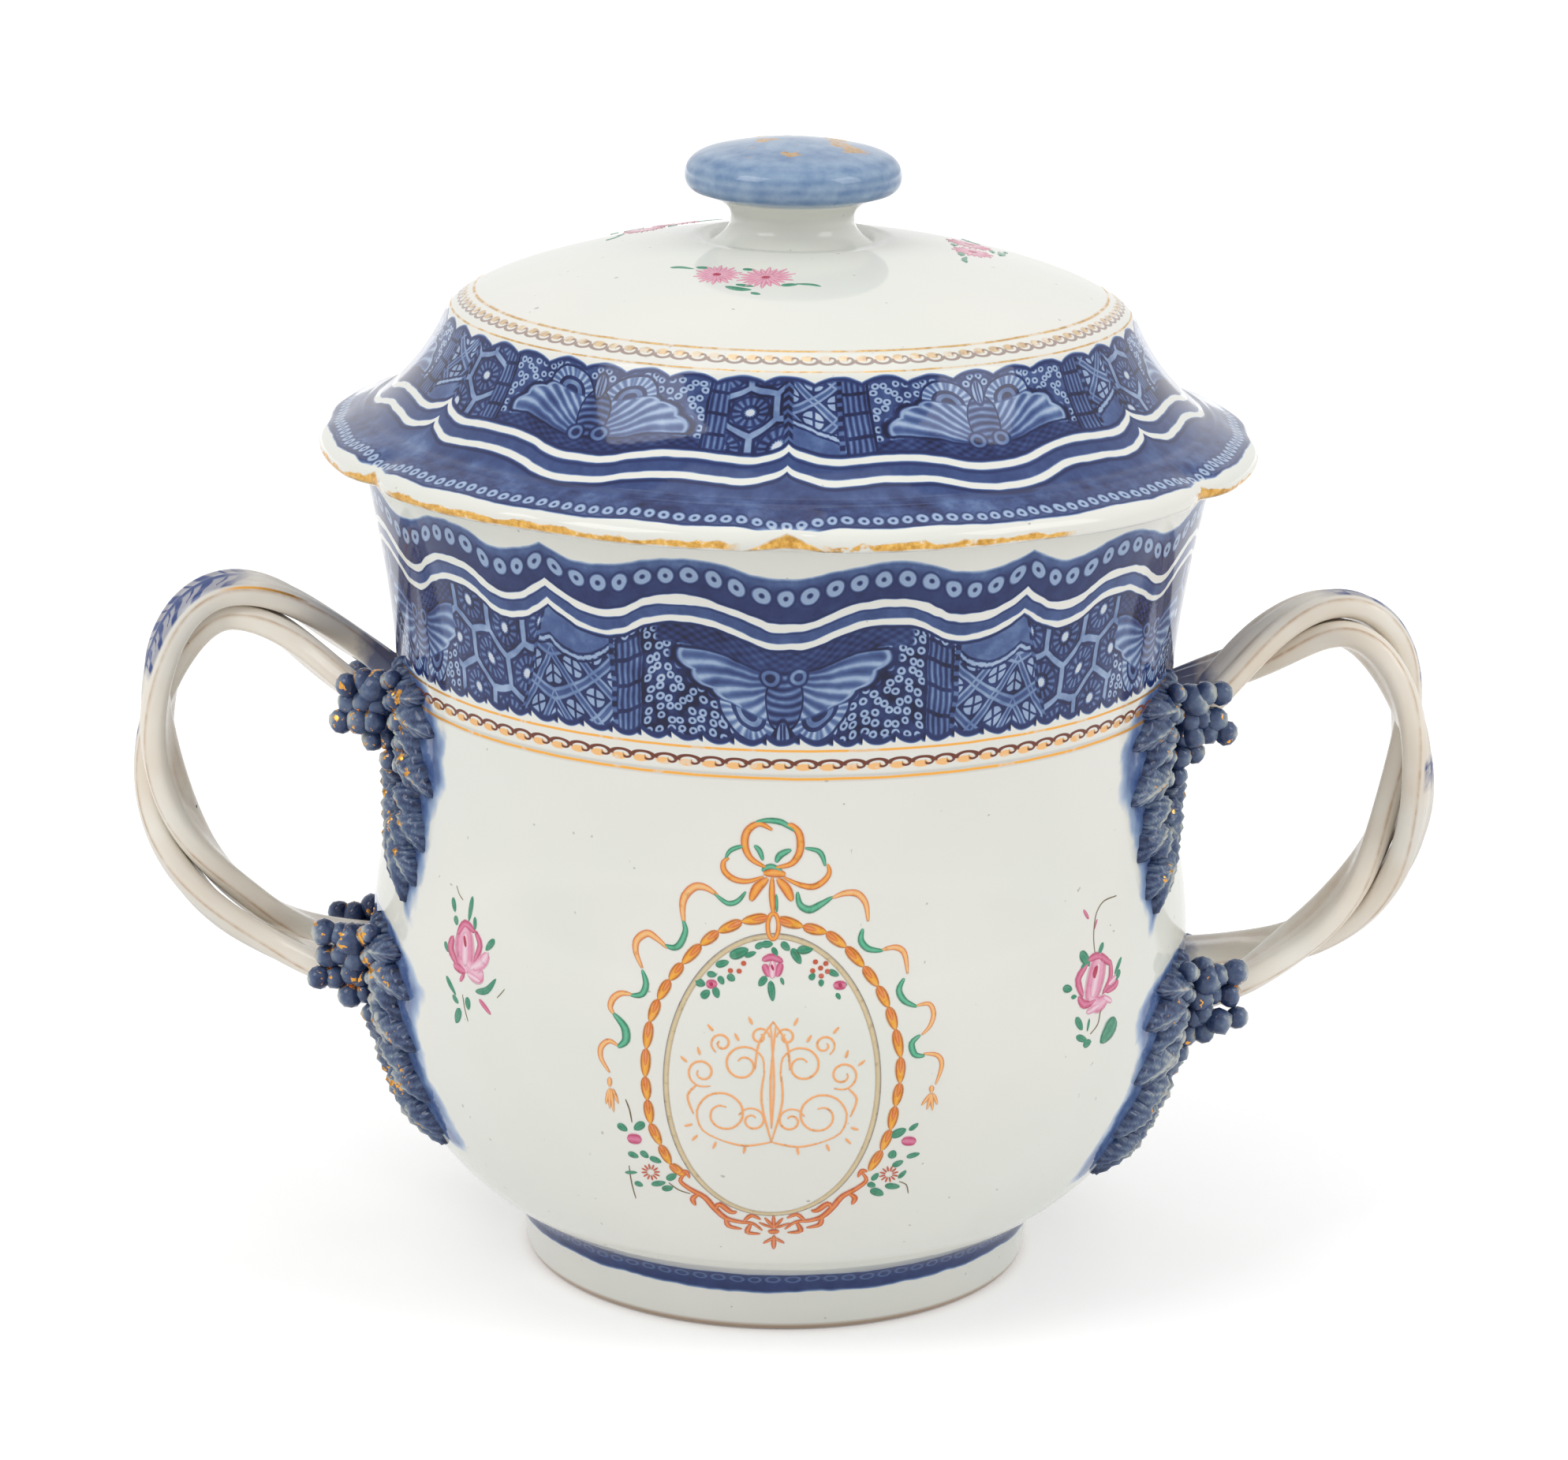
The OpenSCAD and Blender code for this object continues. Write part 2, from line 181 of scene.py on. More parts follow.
class Field:
    """A number that varies over a surface, held as a socket, so patterns read as arithmetic."""

    def __init__(self, nodes, socket):
        self.nodes = nodes
        self.socket = socket

    def math(self, operation, *others, clamp=False):
        node = self.nodes.new("ShaderNodeMath")
        node.operation = operation
        node.use_clamp = clamp
        for slot, value in zip(node.inputs, (self,) + others):
            if isinstance(value, Field):
                node.id_data.links.new(value.socket, slot)
            else:
                slot.default_value = value
        return Field(self.nodes, node.outputs[0])

    def __add__(self, other):
        return self.math("ADD", other)

    def __radd__(self, other):
        return self.math("ADD", other)

    def __sub__(self, other):
        return self.math("SUBTRACT", other)

    def __rsub__(self, other):
        return (self * -1).math("ADD", other)

    def __mul__(self, other):
        return self.math("MULTIPLY", other)

    def __rmul__(self, other):
        return self.math("MULTIPLY", other)

    def __truediv__(self, other):
        return self.math("DIVIDE", other)

    def __abs__(self):
        return self.math("ABSOLUTE")

    def above(self, level, soft=0.1):
        """1 above a level and 0 below it, over a soft edge."""
        return ((self - level) / soft).math("ADD", 0.5, clamp=True)

    def below(self, level, soft=0.1):
        return ((level - self) / soft).math("ADD", 0.5, clamp=True)

    def within(self, low, high, soft=0.1):
        return self.above(low, soft) * self.below(high, soft)

    def stroke(self, half_width, soft=0.1):
        """1 near zero and 0 beyond the half width."""
        return abs(self).below(half_width, soft)

    def wrapped(self, period):
        """The same number brought into one period, centred on zero."""
        return (self + period / 2).math("FLOORED_MODULO", period) - period / 2

    def least(self, other):
        return self.math("MINIMUM", other)

    def most(self, other):
        return self.math("MAXIMUM", other)

    def sine(self):
        return self.math("SINE")


def length(x, y):
    return (x * x + y * y).math("SQRT")


def laid(under, over, mask):
    """Lays one strength of colour over another where the mask is 1."""
    nodes = mask.nodes
    node = nodes.new("ShaderNodeMix")
    node.data_type = "FLOAT"
    for slot, value in ((node.inputs[0], mask), (node.inputs[2], under), (node.inputs[3], over)):
        if isinstance(value, Field):
            node.id_data.links.new(value.socket, slot)
        else:
            slot.default_value = value
    return Field(nodes, node.outputs[0])


def tinted(nodes, under, over, mask):
    """Lays one colour over another where the mask is 1."""
    node = nodes.new("ShaderNodeMix")
    node.data_type = "RGBA"
    node.id_data.links.new(mask.socket, node.inputs[0])
    for slot, value in ((node.inputs[6], under), (node.inputs[7], over)):
        if isinstance(value, bpy.types.NodeSocket):
            node.id_data.links.new(value, slot)
        else:
            slot.default_value = value
    return node.outputs[2]


def cloud_node(nodes, place, size, detail=2.0, roughness=0.5):
    node = nodes.new("ShaderNodeTexNoise")
    node.inputs["Scale"].default_value = 1 / (size * MM)
    node.inputs["Detail"].default_value = detail
    node.inputs["Roughness"].default_value = roughness
    node.id_data.links.new(place, node.inputs["Vector"])
    return node


def cloud(nodes, *measures):
    """A smooth random field between 0 and 1 whose blotches are about the given size in millimetres."""
    return Field(nodes, cloud_node(nodes, *measures).outputs[0])


def split(nodes, socket, kind="ShaderNodeSeparateXYZ"):
    node = nodes.new(kind)
    node.id_data.links.new(socket, node.inputs[0])
    return [Field(nodes, output) for output in node.outputs]


def ramp(field, stops):
    """Maps a field to a colour through a few named stops."""
    node = field.nodes.new("ShaderNodeValToRGB")
    node.id_data.links.new(field.socket, node.inputs[0])
    elements = node.color_ramp.elements
    while len(elements) < len(stops):
        elements.new(0.5)
    for element, (position, colour) in zip(elements, stops):
        element.position = position
        element.color = colour
    return node.outputs[0]


def traced(field, points):
    """A drawn line over the range 0 to 1, through a few points."""
    node = field.nodes.new("ShaderNodeFloatCurve")
    node.id_data.links.new(field.socket, node.inputs[1])
    line = node.mapping.curves[0]
    while len(line.points) < len(points):
        line.points.new(0.5, 0.5)
    for point, (x, y) in zip(line.points, points):
        point.location = (x, y)
        point.handle_type = "AUTO"
    node.mapping.update()
    return Field(field.nodes, node.outputs[0])


glaze_white = srgb(224, 223, 216)
cobalt_stops = [
    (0.0, glaze_white),
    (0.16, srgb(152, 172, 200)),
    (0.34, srgb(94, 118, 160)),
    (0.5, srgb(66, 88, 136)),
    (0.66, srgb(48, 67, 116)),
    (0.84, srgb(28, 42, 92)),
    (1.0, srgb(8, 14, 52))]
gold_colour = srgb(224, 162, 74)


def glazed(name):
    """An empty glazed porcelain material with the fields that its painting starts from."""
    material = bpy.data.materials.new(name)
    material.use_nodes = True
    nodes = material.node_tree.nodes
    place = nodes.new("ShaderNodeTexCoord").outputs["Object"]
    x, y, z = split(nodes, place)
    glaze = nodes["Principled BSDF"]
    glaze.inputs["IOR"].default_value = 1.5
    glaze.inputs["Roughness"].default_value = 0.07
    glaze.inputs["Specular IOR Level"].default_value = 0.33
    return material, nodes, place, x / MM, y / MM, z / MM, glaze


def rippled(nodes, place, glaze, size=9, height=0.03, skin=0.004):
    """The slow swell and fine orange peel of a thick glaze, as bump."""
    swell = cloud(nodes, place, size, 1.0)
    peel = cloud(nodes, place, 0.7, 1.0)
    relief = swell * height + peel * skin
    bump = nodes.new("ShaderNodeBump")
    bump.inputs["Strength"].default_value = 1
    bump.inputs["Distance"].default_value = MM
    bump.id_data.links.new(relief.socket, bump.inputs["Height"])
    bump.id_data.links.new(bump.outputs[0], glaze.inputs["Normal"])


def finished(material, glaze, place, colour, metal, rough, *ripple):
    """Joins the painted colour, metal and roughness to the glaze, which ripples."""
    links = material.node_tree.links
    links.new(colour, glaze.inputs["Base Color"])
    links.new(metal.socket, glaze.inputs["Metallic"])
    links.new(rough.socket, glaze.inputs["Roughness"])
    rippled(material.node_tree.nodes, place, glaze, *ripple)
    return material


def flecked(nodes, place, colour, bare):
    """Dark specks and faint grey-green pooling in the bare glaze."""
    speck = cloud(nodes, place, 1.1, 1.0)
    colour = tinted(nodes, colour, srgb(96, 92, 86), speck.above(0.79, 0.03) * bare * 0.5)
    pooled = cloud(nodes, place, 26)
    return tinted(nodes, colour, srgb(216, 220, 211), pooled.above(0.52, 0.3) * bare * 0.6)


def wave_line(share):
    """The wavy outline of one lobe of the border, from its middle to the cusp at its end."""
    return traced(share, [
        (0, 0.0), (0.05, 0.03), (0.1, 0.13), (0.17, 0.37), (0.25, 0.63), (0.33, 0.79), (0.4, 0.83),
        (0.47, 0.81), (0.54, 0.69), (0.61, 0.44), (0.68, 0.2), (0.75, 0.12), (0.83, 0.2),
        (0.91, 0.44), (1, 0.85)])


def ring_row(strength, across, up, reach=1.0, dark=0.84, light=0.13):
    """A row of small eyelets: a pale disc with a dark middle."""
    eye = length(across, up)
    strength = laid(strength, dark, eye.below(reach + 0.2, 0.25))
    strength = laid(strength, light, eye.below(reach, 0.25))
    return laid(strength, dark, eye.below(reach * 0.26, 0.22))


def scroll(along, up, pitch):
    """A running wave: a brown line that arches, breaks and curls, over a row of gold scallops."""
    cell = along.wrapped(pitch)
    arch = length(cell / (pitch * 0.48), (up + 0.2) / 0.62)
    bow = (arch - 1).stroke(0.26, 0.12) * up.above(-0.25, 0.15)
    curl = length((cell - pitch * 0.26) / (pitch * 0.2), (up + 0.08) / 0.42)
    hook = (curl - 1).stroke(0.32, 0.22) * up.below(0.0, 0.15) * cell.above(pitch * 0.1, 0.2)
    scallop = length((cell + pitch * 0.08) / (pitch * 0.36), (up + 0.42) / 0.42)
    return bow.most(hook), scallop.below(1.0, 0.3)


def painted_border(strength, u, depth, has_trellis, reach, trellis_from, comb_from, seam, blots):
    """The motifs that hang from the white lines: u in millimetres from a lobe's middle, depth from
    the lower white line towards the scalloped edge. The lattice runs on over the cusp to the seam."""
    nodes = u.nodes
    # Fish roe fills what the larger motifs leave.
    grid = nodes.new("ShaderNodeCombineXYZ")
    grid.id_data.links.new(u.socket, grid.inputs[0])
    grid.id_data.links.new(depth.socket, grid.inputs[1])
    cells = nodes.new("ShaderNodeTexVoronoi")
    cells.voronoi_dimensions = "2D"
    cells.inputs["Scale"].default_value = 0.8
    cells.inputs["Randomness"].default_value = 0.5
    cells.id_data.links.new(grid.outputs[0], cells.inputs["Vector"])
    egg = Field(nodes, cells.outputs["Distance"])
    strength = laid(strength, 0.17, (egg - 0.27).stroke(0.13, 0.09))
    strength = laid(strength, 0.9, egg.below(0.1, 0.08))

    # Dark feathering above the wings.
    feather = ((u + depth * 1.6) * 4.2).sine() * 0.5 + ((u * 0.6 - depth) * 7.0).sine() * 0.4
    feathered = u.below(14.0, 0.4) * (depth + u * 0.1).below(3.6, 0.3)
    strength = laid(strength, feather * 0.14 + 0.8, feathered)

    # The striped wings spread from the body, with a level top and scalloped below.
    rise = 6.4 - depth
    sweep = (3.7 - rise).math("ARCTAN2", u + 1.2)
    notch = (sweep * 13).sine()
    swell = length((u - 0.8) / 10.6, (3.4 - rise) / 6.0) - abs(notch) * 0.06
    wing_area = rise.below(3.4, 0.2) * u.above(1.3, 0.3)
    strength = laid(strength, 0.93, swell.below(1.07, 0.05) * rise.below(3.75, 0.2))
    stripe = (sweep * 39 + length(u, rise) * 0.12).sine()
    wing_tone = 0.42 - stripe * 0.2 + (0.5 - swell) * 0.2
    strength = laid(strength, wing_tone, swell.below(0.99, 0.04) * wing_area)
    strength = laid(strength, 0.2, (swell - 0.96).stroke(0.025, 0.03) * wing_area)

    # Fans under the wings, with a pale scalloped hem.
    fan_u = abs(u - 4.0)
    fan = length(fan_u, depth - 8.4)
    fan_turn = fan_u.math("ARCTAN2", depth - 8.4)
    fan_area = fan.below(3.5, 0.2) * (depth - 8.4).above(0, 0.4)
    strength = laid(strength, 0.88, fan_area)
    strength = laid(strength, 0.3 + (fan_turn * 20).sine() * 0.16, (fan - 2.6).stroke(0.6, 0.12) * fan_area)
    strength = laid(strength, 0.36, (fan - 1.2).stroke(0.3, 0.12) * fan_area)

    # The body in the middle: two curled horns over bands of pale arcs.
    body = length(u * 1.5, (depth - 6.3) * 0.9)
    bands = ((length(u, depth - 2.1)) * 6.4).sine()
    strength = laid(strength, 0.62 - bands * 0.27, body.below(3.0, 0.15))
    strength = laid(strength, 0.93, (body - 3.1).stroke(0.14, 0.12))
    horn = length(u - 1.5, depth - 3.4)
    strength = laid(strength, 0.88, horn.below(1.25, 0.25))
    strength = laid(strength, 0.36, (horn - 0.75).stroke(0.22, 0.16))
    tail = length(u * 1.9, (depth - 10.3) * 0.8)
    strength = laid(strength, 0.9, tail.below(1.75, 0.2))
    strength = laid(strength, 0.22, tail.below(1.35, 0.2))
    strength = laid(strength, 0.75, (u * 8).sine().above(0.4, 0.4) * tail.below(1.3, 0.2))

    # A tasselled fruit stands between the roe and the lattice.
    fruit_u = u - trellis_from + 2.3 - depth * 0.05
    fruit = fruit_u.stroke(1.5, 0.2) * depth.within(1.0, 12.8, 0.3)
    strength = laid(strength, 0.6 + (fruit_u * 9).sine() * 0.26, fruit)
    strength = laid(strength, 0.92, (depth.wrapped(3.1)).stroke(0.25, 0.15) * fruit)
    strength = laid(strength, 0.93, (abs(fruit_u) - 1.65).stroke(0.17, 0.12) * depth.within(0.4, 13.0, 0.3))

    # Along the lobe's end: the distance from the cusp, the same way on both sides of it.
    from_cusp = (u - reach) * (has_trellis * 2 - 1)
    trellis = from_cusp.above(trellis_from - reach, 0.15) * (from_cusp - seam).below(0, 0.2)
    combed = (from_cusp - seam).above(0, 0.2) * from_cusp.below(reach - comb_from, 0.3)

    # The lattice: doubled pale lines, with a four-petalled flower in each diamond.
    side = 5.4
    p = ((from_cusp + depth) / side).wrapped(1.0)
    q = ((from_cusp - depth) / side).wrapped(1.0)
    lines = abs(p).stroke(0.14, 0.03).most(abs(q).stroke(0.14, 0.03))
    pale = (abs(p) - 0.095).stroke(0.04, 0.03).most((abs(q) - 0.095).stroke(0.04, 0.03))
    cell_p = abs(abs(p) - 0.5)
    cell_q = abs(abs(q) - 0.5)
    star = length(cell_p, cell_q)
    cross = abs(cell_p - cell_q).above(0.05, 0.04) * star.below(0.3, 0.03)
    lattice = laid(0.86, 0.2, cross * star.above(0.06, 0.03))
    lattice = laid(lattice, 0.56, lines)
    lattice = laid(lattice, 0.28, pale)
    strength = laid(strength, lattice, trellis)

    # A plain lappet hangs over the lattice, edged by a pale line.
    hang = depth - 3.7 + (from_cusp + 1.5) * (from_cusp + 1.5) * 0.07
    strength = laid(strength, 0.4 + blots * 0.16, hang.below(0, 0.2) * trellis)
    strength = laid(strength, 0.85, (hang + 0.1).stroke(0.14, 0.1) * trellis)
    strength = laid(strength, 0.17, (hang - 0.35).stroke(0.2, 0.12) * trellis)
    strength = laid(strength, 0.9, (hang - 0.8).stroke(0.12, 0.12) * trellis)

    # Honeycomb cells, each with a radiating flower.
    cell = 6.2
    tall = cell * math.sqrt(3)
    ax = (from_cusp - 1.3).wrapped(cell)
    ay = (depth - 1.4).wrapped(tall)
    bx = (from_cusp - 1.3 + cell / 2).wrapped(cell)
    by = (depth - 1.4 + tall / 2).wrapped(tall)
    nearer = length(ax, ay).math("LESS_THAN", length(bx, by))
    hx = laid(bx, ax, nearer)
    hy = laid(by, ay, nearer)
    hexagon = (abs(hx) * 0.5 + abs(hy) * 0.866).most(abs(hx))
    ray = hy.math("ARCTAN2", hx)
    core = length(hx, hy)
    comb = laid(0.62 + (ray * 13).sine() * 0.26, 0.08, core.below(0.6, 0.25))
    comb = laid(comb, 0.86, (core - 0.95).stroke(0.2, 0.15))
    comb = laid(comb, 0.85, (core - 2.25).stroke(0.16, 0.15))
    comb = laid(comb, 0.92, hexagon.above(cell / 2 - 0.75, 0.12))
    comb = laid(comb, 0.27, hexagon.above(cell / 2 - 0.38, 0.14))
    strength = laid(strength, comb, combed)

    # Dark dotted columns part the fields.
    column = (from_cusp - seam).stroke(0.5, 0.2).most((from_cusp + reach - trellis_from).stroke(0.3, 0.15))
    beads = (depth.wrapped(1.3)).stroke(0.28, 0.2) * 0.5
    return laid(strength, 0.95 - beads, column * has_trellis.most(combed))


def from_front(x, y):
    """The angle round the upright axis from the front, in degrees."""
    return x.math("ARCTAN2", y * -1) * (180 / math.pi)


def repeated(theta, count):
    """The place within each of so many repeats round the axis, from -0.5 to 0.5."""
    return (theta * (count / 360)).wrapped(1.0)


def outer_face(radius, height, outline, tall, level):
    """1 on the outer face of a wall with this outline and 0 on its inner face."""
    wide = 60
    line = traced(height / tall, [(p.y / tall, p.x / wide) for p in outline])
    return (radius - line * wide).above(level, 0.2)


def blotched(strength, wobble, blots):
    """Lets the blue wash pool and thin where it was laid on."""
    return strength + ((wobble - 0.5) * 0.5 + (blots - 0.46) * 0.4) * strength.above(0.2, 0.3)


def grained(strength, grain):
    """Gives the blue a fine grain and keeps the bare glaze clear of it."""
    return (strength + (grain - 0.5) * 0.05) * (1 - strength.below(0.03, 0.02))


front_half = 33
border_run = 27.4
white_line_height = 92.4
eyelet_height = 96.0
blue_top_height = 98.2
blue_hem_height = 79.4
hem_scallops = 82
eyelet_count = 116
upper_gilt_height = 77.7
lower_gilt_height = 74.4
scroll_height = 76.2
scroll_radius = 47.4
scroll_count = 110
foot_link_height = 7.1
foot_link_count = 90


def cup_paint():
    material, nodes, place, x, y, z, glaze = glazed("cup_porcelain_painted")
    unsteady = cloud_node(nodes, place, 5)
    wobble = Field(nodes, unsteady.outputs[0])
    shift = split(nodes, unsteady.outputs[1], "ShaderNodeSeparateColor")
    theta = from_front(x, y) + (shift[0] - 0.5) * 1.1
    height = z + (shift[1] - 0.5) * 0.9
    radius = length(x, y)
    tall = cup_height + 2.5
    outline = [Vector((foot.x, 0))] + cup_outside[8::8] + [Vector((lip_radius, tall))]
    outer = outer_face(radius, z, outline, tall, -1.3)

    # Each lobe of the border is brought to the same run from its middle to its cusp.
    lobe_half = (180 - front_half) / 5
    turn = abs(theta)
    beyond = (turn - front_half).math("FLOORED_MODULO", 2 * lobe_half)
    share_side = abs(beyond - lobe_half) / lobe_half
    is_front = turn.below(front_half, 0.01)
    share = laid(share_side, turn / front_half, is_front)
    lobe_number = ((turn + (2 * lobe_half - front_half)) / (2 * lobe_half)).math("FLOOR")
    lobe_is_trellis = lobe_number.math("FLOORED_MODULO", 2.0).below(0.5, 0.01)
    u = share * border_run
    crest = wave_line(share)
    line_height = crest * 3.6 + white_line_height
    top_edge = crest * 2.4 + blue_top_height
    ring_height = crest * 2.8 + eyelet_height

    blots = cloud(nodes, place, 2.2, 3.0, 0.6)
    grain = cloud(nodes, place, 0.5, 2.0)
    depth = line_height - 2.75 - height
    scallop = abs(repeated(theta, hem_scallops)) * 2.0

    strength = painted_border(
        (blots - 0.5) * 0.6 + 0.89, u, depth, lobe_is_trellis, border_run, 19.6, 9.7, depth * 0.42 + 0.5,
        blots)
    strength = blotched(strength, wobble, blots)
    hem_depth = blue_hem_height - height
    strength = laid(strength, 0.84, (hem_depth - (1 - scallop * scallop) * 0.9 + 0.35).above(-0.1, 0.25))
    strength = laid(strength, 0.0, (hem_depth - (1 - scallop * scallop) * 0.9).above(0.25, 0.25))
    dots = length(repeated(theta, hem_scallops) * 3.0 - 1.5, hem_depth - 0.5)
    strength = laid(strength, 0.95, dots.below(0.45, 0.3))

    # The two white lines with blue between, the eyelet band above them, and the plain rim.
    above = height - line_height
    paler = (height - top_edge + 1.1).above(0, 1.0)
    band = laid(0.82 + (blots - 0.5) * 0.3, 0.52 + (blots - 0.5) * 0.5, paler)
    strength = laid(strength, 0.6 + (blots - 0.5) * 0.4, above.above(-2.75, 0.15))
    drawn = (shift[2] - 0.5) * 0.5
    strength = laid(strength, 0.02, (abs(above + 2.3) + drawn).below(0.4, 0.18))
    strength = laid(strength, band, above.above(0.45, 0.15))
    strength = laid(strength, 0.9, (above - 0.62).stroke(0.16, 0.2))
    strength = laid(strength, 0.84, (above + 0.62).stroke(0.12, 0.2))
    strength = laid(strength, 0.0, (abs(above) + drawn).below(0.5, 0.18))
    strength = laid(strength, 0.9, (above + 2.9).stroke(0.16, 0.15))
    ring_across = repeated(theta, eyelet_count) * 2.66
    ringed = ring_row(strength, ring_across, height - ring_height, 1.0, 0.92, 0.2)
    strength = laid(strength, ringed, above.above(1.2, 0.1))
    strength = laid(strength, 0.0, (height - top_edge).above(0, 0.45))

    strength = grained(strength, grain)

    # The blue runs softly off the sprigs onto the wall around them, down to a tip below each.
    from_handle = (abs(y) / radius).math("ARCSINE") * radius
    side_drop = x.above(0, 1) * -3 + 1.5
    wash_tone = (blots - 0.5) * 0.5 + 0.5 - shift[2] * 0.12
    for top, drop, edge_points in (
            (79.0, 30.5, [
                (0, 0.2), (0.07, 0.78), (0.2, 0.88), (0.4, 0.9), (0.6, 0.82), (0.8, 0.84), (1, 0.82)]),
            (45.5, 26.5, [
                (0, 0.3), (0.08, 0.8), (0.2, 0.95), (0.4, 0.88), (0.6, 0.9), (0.85, 0.97), (1, 0.95)])):
        fall = (top - height + (side_drop if top < 60 else 0)) / drop
        far = traced(fall, edge_points) * 28.6
        near_edge = (fall - 0.3).most(0) * 29 + 3.5
        fringe = (from_handle - far + (wobble - 0.5) * 5 + (blots - 0.5) * 2).below(0, 3.2)
        inner = (from_handle - near_edge + (wobble - 0.5) * 3).above(0, 1.6)
        strength = strength.most(fringe * inner * fall.within(0.01, 1.0, 0.05) * wash_tone * outer)

    # A blue band round the top of the foot, with a row of pale links along it.
    foot_band = height.within(5.5, 7.9, 0.4) * radius.below(33.8, 0.2)
    link = length(repeated(theta, foot_link_count) * 2.3 / 0.95, (height - foot_link_height) / 0.42)
    foot_strength = laid(0.76 + (blots - 0.5) * 0.25, 0.46, (link - 0.8).stroke(0.2, 0.2))
    strength = strength.most(foot_band * foot_strength)
    strength = strength * outer.most(height.below(12, 0.5))

    colour = ramp(strength, cobalt_stops)
    colour = flecked(nodes, place, colour, strength.below(0.05, 0.05))
    colour = tinted(nodes, colour, srgb(150, 112, 74), z.below(0.9, 0.5) * radius.above(27.5, 0.3) * 0.75)

    # Gilt lines and the wave scroll, brown over gold, worn through in places.
    worn = cloud(nodes, place, 4.5, 3.0, 0.65)
    present = worn.above(0.4, 0.07)
    line_up = (z + 0.15 * wobble - upper_gilt_height).stroke(0.15, 0.14)
    line_down = (z + 0.2 * wobble - lower_gilt_height).stroke(0.17, 0.14)
    hook, fill = scroll(
        theta * math.radians(scroll_radius), z + 0.2 * shift[1] - scroll_height,
        2 * math.pi * scroll_radius / scroll_count)
    lines = line_up.most(line_down) * outer
    gilding = lines.most(fill * 0.8 * outer)
    gold = gilding * present.most(0.35)
    grey_edge = ((z - lower_gilt_height).stroke(0.42, 0.3) - line_down).most(0) * outer
    colour = tinted(nodes, colour, srgb(150, 146, 140), grey_edge * 0.35)
    colour = tinted(nodes, colour, srgb(222, 190, 150), gilding * (1 - present) * 0.8)
    colour = tinted(nodes, colour, gold_colour, gold)
    brown = hook * outer
    colour = tinted(nodes, colour, srgb(108, 54, 36), brown)
    metal = gold * (1 - brown) * 0.9
    return finished(material, glaze, place, colour, metal, metal * 0.28 + 0.07)


fired(spun(cup_profile), "cup_body", cup_paint(), "cup")

# The cover: a domed porcelain cover whose lobed flange rests on the cup's lip, with a ring under it
# that drops into the mouth. The mushroom knob is thrown with the dome and washed blue in bands.
cover_low, cover_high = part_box("cover")
flange_radius = 56.77
flange_thickness = 2.8
flange_rise = 4.4
lobes = 6
lobe_pitch = 360 / lobes
notch_depth = 1.4
dip_depth = 0.5
cover_wall_radius = 51
shoulder = Vector((41.2, 17))
cover_height = 26.6
cover_wall = 3
locating_radius = 47.7
locating_depth = cup_height - round(cover_low.z / MM, 1)
locating_thickness = 2.4
knob_top = round(cover_high.z / MM, 1) - cup_height
wall_foot = Vector((cover_wall_radius, flange_rise))
wall_climb = shoulder.y - flange_rise
crown_rise = cover_height - shoulder.y
neck_radius = 7.4
head_radius = 13
dome = [wall_foot]
dome += curve_points(
    wall_foot,
    wall_foot + Vector((-0.45, 0.32)) * wall_climb,
    shoulder + Vector((0.13, -0.3)) * wall_climb,
    shoulder,
    34)
dome += curve_points(
    shoulder,
    shoulder + Vector((-0.34, 0.4)) * crown_rise,
    Vector((0.5 * shoulder.x, cover_height - 0.14 * crown_rise)),
    Vector((0.5 * neck_radius, cover_height)),
    40)
dome_inside = [p for p in offset_inward(dome, cover_wall) if p.x < locating_radius - locating_thickness - 0.4]
neck = Vector((neck_radius, cover_height + 0.8))
neck_foot = Vector((neck_radius + 2.4, cover_height - 1.6))
under = Vector((head_radius - 0.9, knob_top - 6.2))
side = Vector((head_radius, knob_top - 4.2))
crest = Vector((0, knob_top))
head_edge = Vector((head_radius - 3.4, knob_top - 1.3))
knob = [neck_foot]
knob += curve_points(
    neck_foot, neck_foot + Vector((-1.4, 0.9)), neck - Vector((0, 0.8)), neck + Vector((0, 0.8)), 10)
knob += curve_points(neck + Vector((0, 0.8)), neck + Vector((0, 2.2)), under - Vector((3, 0.9)), under, 12)
knob += curve_points(under, under + Vector((0.8, 0.5)), side - Vector((0, 0.8)), side, 8)
knob += curve_points(
    side, side + Vector((0, 1.4)), Vector((head_radius - 1.2, knob_top - 1.8)), head_edge, 10)
knob += curve_points(
    head_edge, Vector((head_radius - 7, knob_top - 0.5)), crest + Vector((3, -0.1)), crest, 14)
flange_edge = [
    Vector((flange_radius + dx, dy)) for dx, dy in (
        (-1.9, 0), (-1.4, 0.02), (-0.8, 0.14), (-0.45, 0.3), (-0.18, 0.58), (-0.04, 0.95), (0, 1.3),
        (-0.1, 1.68), (-0.26, 2.0), (-0.5, 2.3), (-0.82, 2.57), (-1.2, 2.8), (-1.7, 3.0), (-2.2, 3.15))]
flange_inner = Vector((cover_wall_radius + 0.75, flange_rise - 0.05))
flange_top = [flange_edge[-1].lerp(flange_inner, i / 8) for i in range(1, 8)]
flange_top += [
    Vector((cover_wall_radius + 0.45, flange_rise + 0.02)),
    Vector((cover_wall_radius + 0.1, flange_rise + 0.3))]
inner_radius = locating_radius - locating_thickness
low_radius = 46.65
under_ring = [
    Vector((0, cover_height - cover_wall))]
under_ring += dome_inside[::-1][::2] + [dome_inside[0]]
under_ring += rounded([
    (inner_radius - 0.4, dome_inside[0].y - 0.2, 0),
    (inner_radius, dome_inside[0].y - 1.6, 0),
    (low_radius - locating_thickness, -locating_depth, 0.6),
    (low_radius, -locating_depth, 0.8),
    (locating_radius, 0, 0.3),
    (locating_radius + 2, 0, 0)])
dome_start = [p for p in dome[1:] if p.y > flange_rise + 0.35]
dome_end = [p for p in dome_start if p.x > neck_foot.x + 0.3]
cover_profile = under_ring + flange_edge + flange_top + dome_end + knob
cover_profile = [p + Vector((0, cup_height)) for p in cover_profile]


